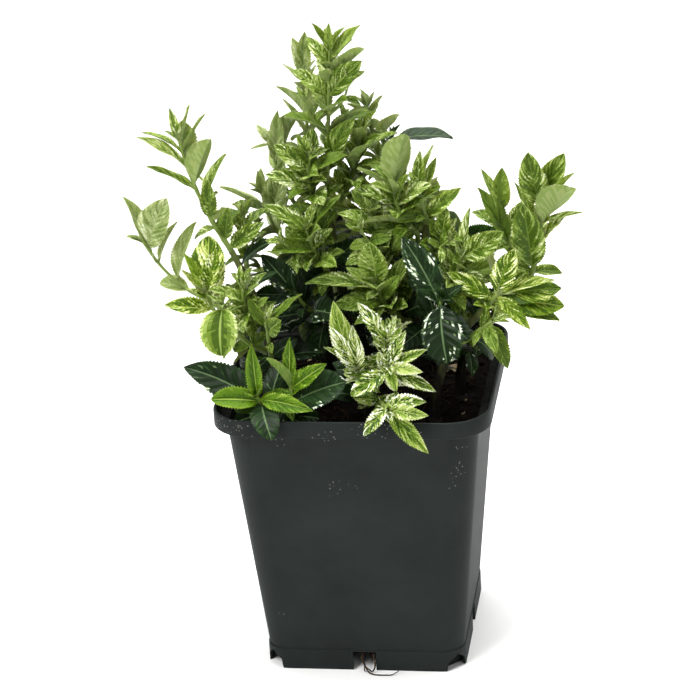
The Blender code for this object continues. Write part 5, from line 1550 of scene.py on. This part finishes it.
def make_peat():
    """The root ball: a crumbly top and plain sides down to the drain holes."""
    half = wall_half(SOIL_TOP) - WALL - 0.05
    corner = wall_corner(SOIL_TOP) - WALL
    cells = SOIL_CELLS
    points = []
    for j in range(cells + 1):
        for i in range(cells + 1):
            x = half * (2 * i / cells - 1)
            y = half * (2 * j / cells - 1)
            over = Vector((max(abs(x) - (half - corner), 0), max(abs(y) - (half - corner), 0)))
            if over.length > corner:
                over *= corner / over.length
                x = math.copysign(half - corner + over.x, x)
                y = math.copysign(half - corner + over.y, y)
            points.append(Vector((x, y, peat_top(x, y))))
    faces = []
    for j in range(cells):
        for i in range(cells):
            k = j * (cells + 1) + i
            faces.append((k, k + 1, k + cells + 2, k + cells + 1))
    rim = list(range(cells)) + [cells + j * (cells + 1) for j in range(cells)]
    rim += [(cells + 1) * (cells + 1) - 1 - i for i in range(cells)]
    rim += [(cells - j) * (cells + 1) for j in range(cells)]
    above = rim
    for height in (60, 35, FLOOR_TOP + 3, FLOOR_TOP + SOIL_CLEARANCE):
        shrink = (wall_half(height) - WALL - SOIL_CLEARANCE) / half
        below = []
        for k in rim:
            x, y = points[k].x * shrink, points[k].y * shrink
            below.append(len(points))
            points.append(Vector((x, y, height)))
        for i in range(len(rim)):
            follow = (i + 1) % len(rim)
            faces.append((above[follow], above[i], below[i], below[follow]))
        above = below
    faces.append(tuple(reversed(above)))
    joiner = Joiner()
    joiner.add_solid(points, faces)
    piece = joiner.object("peat", [peat_material("peat", (4, 3, 2), (21, 16, 12), 300.0)])
    finish_piece(piece, "peat", "root_ball")


def ball(draw, centre, size):
    """A small uneven lump."""
    work = bmesh.new()
    bmesh.ops.create_icosphere(work, subdivisions=2, radius=1)
    stretch = Vector([draw.uniform(0.7, 1.35) for _ in range(3)]) * size
    turn = Matrix.Rotation(draw.uniform(0, FULL_TURN), 3, "Z")
    turn = turn @ Matrix.Rotation(draw.uniform(0, 1.5), 3, "X")
    seed = draw.uniform(0, 90)
    points = []
    for vertex in work.verts:
        rough = 1 + 0.35 * noise.noise(vertex.co * 1.3 + Vector((seed, 0, 0)))
        spot = Vector([vertex.co[i] * stretch[i] * rough for i in range(3)])
        points.append(centre + turn @ spot)
    faces = [tuple(vertex.index for vertex in face.verts) for face in work.faces]
    work.free()
    return points, faces


def chip(draw, centre, long, wide, thick):
    """A flat splinter."""
    turn = Matrix.Rotation(draw.uniform(0, FULL_TURN), 3, "Z")
    turn = turn @ Matrix.Rotation(draw.uniform(-0.3, 0.3), 3, "X")
    outline = []
    for corner in range(CHIP_CORNERS):
        angle = math.tau * corner / CHIP_CORNERS
        reach = draw.uniform(0.75, 1.0)
        outline.append((math.cos(angle) * long * reach / 2, math.sin(angle) * wide * reach / 2))
    points = [centre + turn @ Vector((x, y, z)) for z in (0, thick) for x, y in outline]
    return points, loft_faces(CHIP_CORNERS, 2)


def make_litter():
    """Crumbs, fibres and wood chips lying on the peat."""
    draw = Random(LITTER_SEED)
    reach = wall_half(SOIL_TOP) - WALL - 2

    def spot():
        x, y = draw.uniform(-reach, reach), draw.uniform(-reach, reach)
        return Vector((x, y, peat_top(x, y)))

    crumbs = Joiner()
    for _ in range(CRUMBS):
        size = 0.3 + 1.0 * draw.random() ** 3
        crumbs.add_solid(*ball(draw, spot() + UP * size * 0.3, size))
    fibres = Joiner()
    for _ in range(FIBRES):
        start = spot()
        way = Vector((draw.uniform(-1, 1), draw.uniform(-1, 1), 0)).normalized()
        length = draw.uniform(4, 11)
        bow = Vector((-way.y, way.x, 0)) * draw.uniform(-0.35, 0.35) * length + UP * draw.uniform(0, 0.8)
        end = start + way * length
        if max(abs(end.x), abs(end.y)) > reach:
            continue
        end.z = peat_top(end.x, end.y)
        line = arc_points(start, (start + end) / 2 + bow, end, 8)
        line = [Vector((p.x, p.y, max(p.z, peat_top(p.x, p.y)) + 0.12)) for p in line]
        fibres.add_solid(*tube(line, [draw.uniform(0.1, 0.2)] * len(line), 5))
    chips = Joiner()
    for number in range(CHIPS):
        centre = spot() + UP * 0.2
        size = draw.uniform(1.2, 3.0)
        if number == 0:
            x, y, size = BIG_CHIP
            centre = Vector((x, y, peat_top(x, y) + 0.3))
        chips.add_solid(*chip(draw, centre, size, size * 0.45, 0.35))
    pieces = [
        crumbs.object("peat_crumbs", [peat_material("peat_crumb", (8, 6, 5), (38, 30, 23), 500.0)]),
        fibres.object("peat_fibres", [peat_material("fibre", (34, 24, 16), (74, 57, 39), 400.0)]),
        chips.object(
            "wood_chips", [peat_material("wood_chip", (120, 100, 76), (178, 160, 128), 250.0)], CHIP_SHARP
        ),
    ]
    for piece in pieces:
        finish_piece(piece, "peat")


# Roots out of the front drain hole: the points that each passes, x, y, z, and its radius at its start
DRAIN_ROOTS = (
    (((0.5, -30, 7.4), (-0.8, -33, 5), (0.1, -34.5, 2.6), (0, -35, 0.5)), 0.4),
    (
        ((2.2, -30, 7.4), (3.1, -33, 5), (3.7, -34.6, 2.7), (3, -35.4, 0.9), (1.5, -35, 1.3),
         (0.3, -34.6, 2.1)),
        0.36,
    ),
    (
        ((0.1, -34.5, 2.5), (1.7, -36, 0.7), (3.7, -36.8, 0.4), (7.2, -37, 0.4), (10, -36.4, 0.5),
         (12.2, -34.6, 1.4)),
        0.26,
    ),
)
ROOT_STEPS = 40
ROOT_HAIRS = 9
ROOT_SEED = 9


def make_roots():
    """Thin roots that hang out of the drain hole behind the front slot, down to the ground."""
    draw = Random(ROOT_SEED)
    joiner = Joiner()
    top = FLOOR_TOP - 0.2
    for number, (route, radius) in enumerate(DRAIN_ROOTS):
        line = smooth_line([Vector(point) for point in route], ROOT_STEPS)
        for i, point in enumerate(line):
            point.x += 0.18 * noise.noise(point * 0.9)
            point.y += 0.18 * noise.noise(point * 0.9 + UP * 7)
            point.z = max(point.z, radius)
            if number < 2 and i == 0:
                point.z = top
        radii = [radius * (1 - 0.5 * i / ROOT_STEPS) for i in range(ROOT_STEPS + 1)]
        joiner.add_solid(*round_tube(line, radii, 8, 0.12, number))
    for _ in range(ROOT_HAIRS):
        x = draw.uniform(-3, 3)
        start = Vector((x, -30 + draw.uniform(-1.5, 1.5), top))
        end = start + Vector((draw.uniform(-1.2, 1.2), draw.uniform(-2, 0), -draw.uniform(0.8, 2.6)))
        line = arc_points(start, (start + end) / 2 + Vector((draw.uniform(-1, 1), 0, 0)), end, 8)
        joiner.add_solid(*tube(line, [0.14 - 0.01 * i for i in range(9)], 5))
    material = peat_material("root", (22, 17, 11), (78, 62, 44), 600.0)
    finish_piece(joiner.object("drain_roots", [material]), "peat")


def make_stage():
    """A plain pale floor that curves up behind."""
    work = bmesh.new()
    profile = [(-1.4, 0.0), (0.75, 0.0)]
    for angle in np.linspace(0.15, math.pi / 2, 9):
        profile.append((0.75 + 0.5 * math.sin(angle), 0.5 - 0.5 * math.cos(angle)))
    profile.append((1.25, 2.2))
    rows = [[work.verts.new((x, y, z)) for y, z in profile] for x in (-2.5, 2.5)]
    for k in range(len(profile) - 1):
        work.faces.new((rows[0][k], rows[1][k], rows[1][k + 1], rows[0][k + 1]))
    mesh = bpy.data.meshes.new("floor")
    work.to_mesh(mesh)
    work.free()
    for face in mesh.polygons:
        face.use_smooth = True
    made = new_material("pale_floor", (0.88, 0.88, 0.87), 0.85, {"Specular IOR Level": 0.15})[0]
    mesh.materials.append(made)
    floor = bpy.data.objects.new("floor", mesh)
    bpy.context.scene.collection.objects.link(floor)


def add_light(name, place, target, size, power):
    data = bpy.data.lights.new(name, "AREA")
    data.shape = "RECTANGLE"
    data.size, data.size_y = size
    data.energy = power
    lamp = bpy.data.objects.new(name, data)
    lamp.location = place
    way = Vector(target) - Vector(place)
    lamp.rotation_euler = way.to_track_quat("-Z", "Y").to_euler()
    bpy.context.scene.collection.objects.link(lamp)


def make_lights():
    world = bpy.data.worlds.new("studio")
    world.use_nodes = True
    background = world.node_tree.nodes["Background"]
    background.inputs["Color"].default_value = (1, 1, 1, 1)
    background.inputs["Strength"].default_value = 0.21
    bpy.context.scene.world = world
    middle = (0, 0, 0.12)
    add_light("key", (-0.6, -0.75, 1.15), middle, (0.7, 0.7), 21)
    add_light("fill", (1.0, -0.7, 0.55), middle, (0.8, 0.8), 4.5)
    add_light("top", (0.1, 0.2, 1.3), middle, (1.0, 1.0), 29)
    bpy.context.scene.view_settings.view_transform = "Standard"


# The camera, as fitted to the pot in the photo: angles in degrees, lengths in millimetres
CAMERA_AZIMUTH = 9.27
CAMERA_ELEVATION = 21.91
CAMERA_ROLL = -3.18
CAMERA_DISTANCE = 853.8
CAMERA_LENS = 133.59
CAMERA_SENSOR = 36.0
TARGET_RIGHT = -5.11
TARGET_UP = 1.84
TARGET_HEIGHT = 100.7


def make_camera():
    azimuth = math.radians(CAMERA_AZIMUTH)
    elevation = math.radians(CAMERA_ELEVATION)
    roll = math.radians(CAMERA_ROLL)
    level = math.cos(elevation)
    back = Vector((math.sin(azimuth) * level, -math.cos(azimuth) * level, math.sin(elevation)))
    right = Vector((math.cos(azimuth), math.sin(azimuth), 0))
    up = back.cross(right)
    target = UP * TARGET_HEIGHT + right * TARGET_RIGHT + up * TARGET_UP
    rolled_right = right * math.cos(roll) + up * math.sin(roll)
    rolled_up = up * math.cos(roll) - right * math.sin(roll)
    data = bpy.data.cameras.new("photo_camera")
    data.sensor_width = CAMERA_SENSOR
    data.lens = CAMERA_LENS
    data.clip_start = 0.01
    camera = bpy.data.objects.new("photo_camera", data)
    turn = Matrix((rolled_right, rolled_up, back)).transposed().to_4x4()
    turn.translation = (target + back * CAMERA_DISTANCE) * MM
    camera.matrix_world = turn
    bpy.context.scene.collection.objects.link(camera)
    bpy.context.scene.camera = camera


def main():
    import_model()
    foliage = Foliage()
    add_dark_leaves(foliage)
    add_second_flush(foliage)
    add_new_growth(foliage)
    make_leaves(foliage)
    make_twigs(foliage)
    make_stem_bark()
    make_fine_pot()
    make_peat()
    make_litter()
    make_roots()
    make_stage()
    make_lights()
    make_camera()
    bpy.context.view_layer.update()


main()
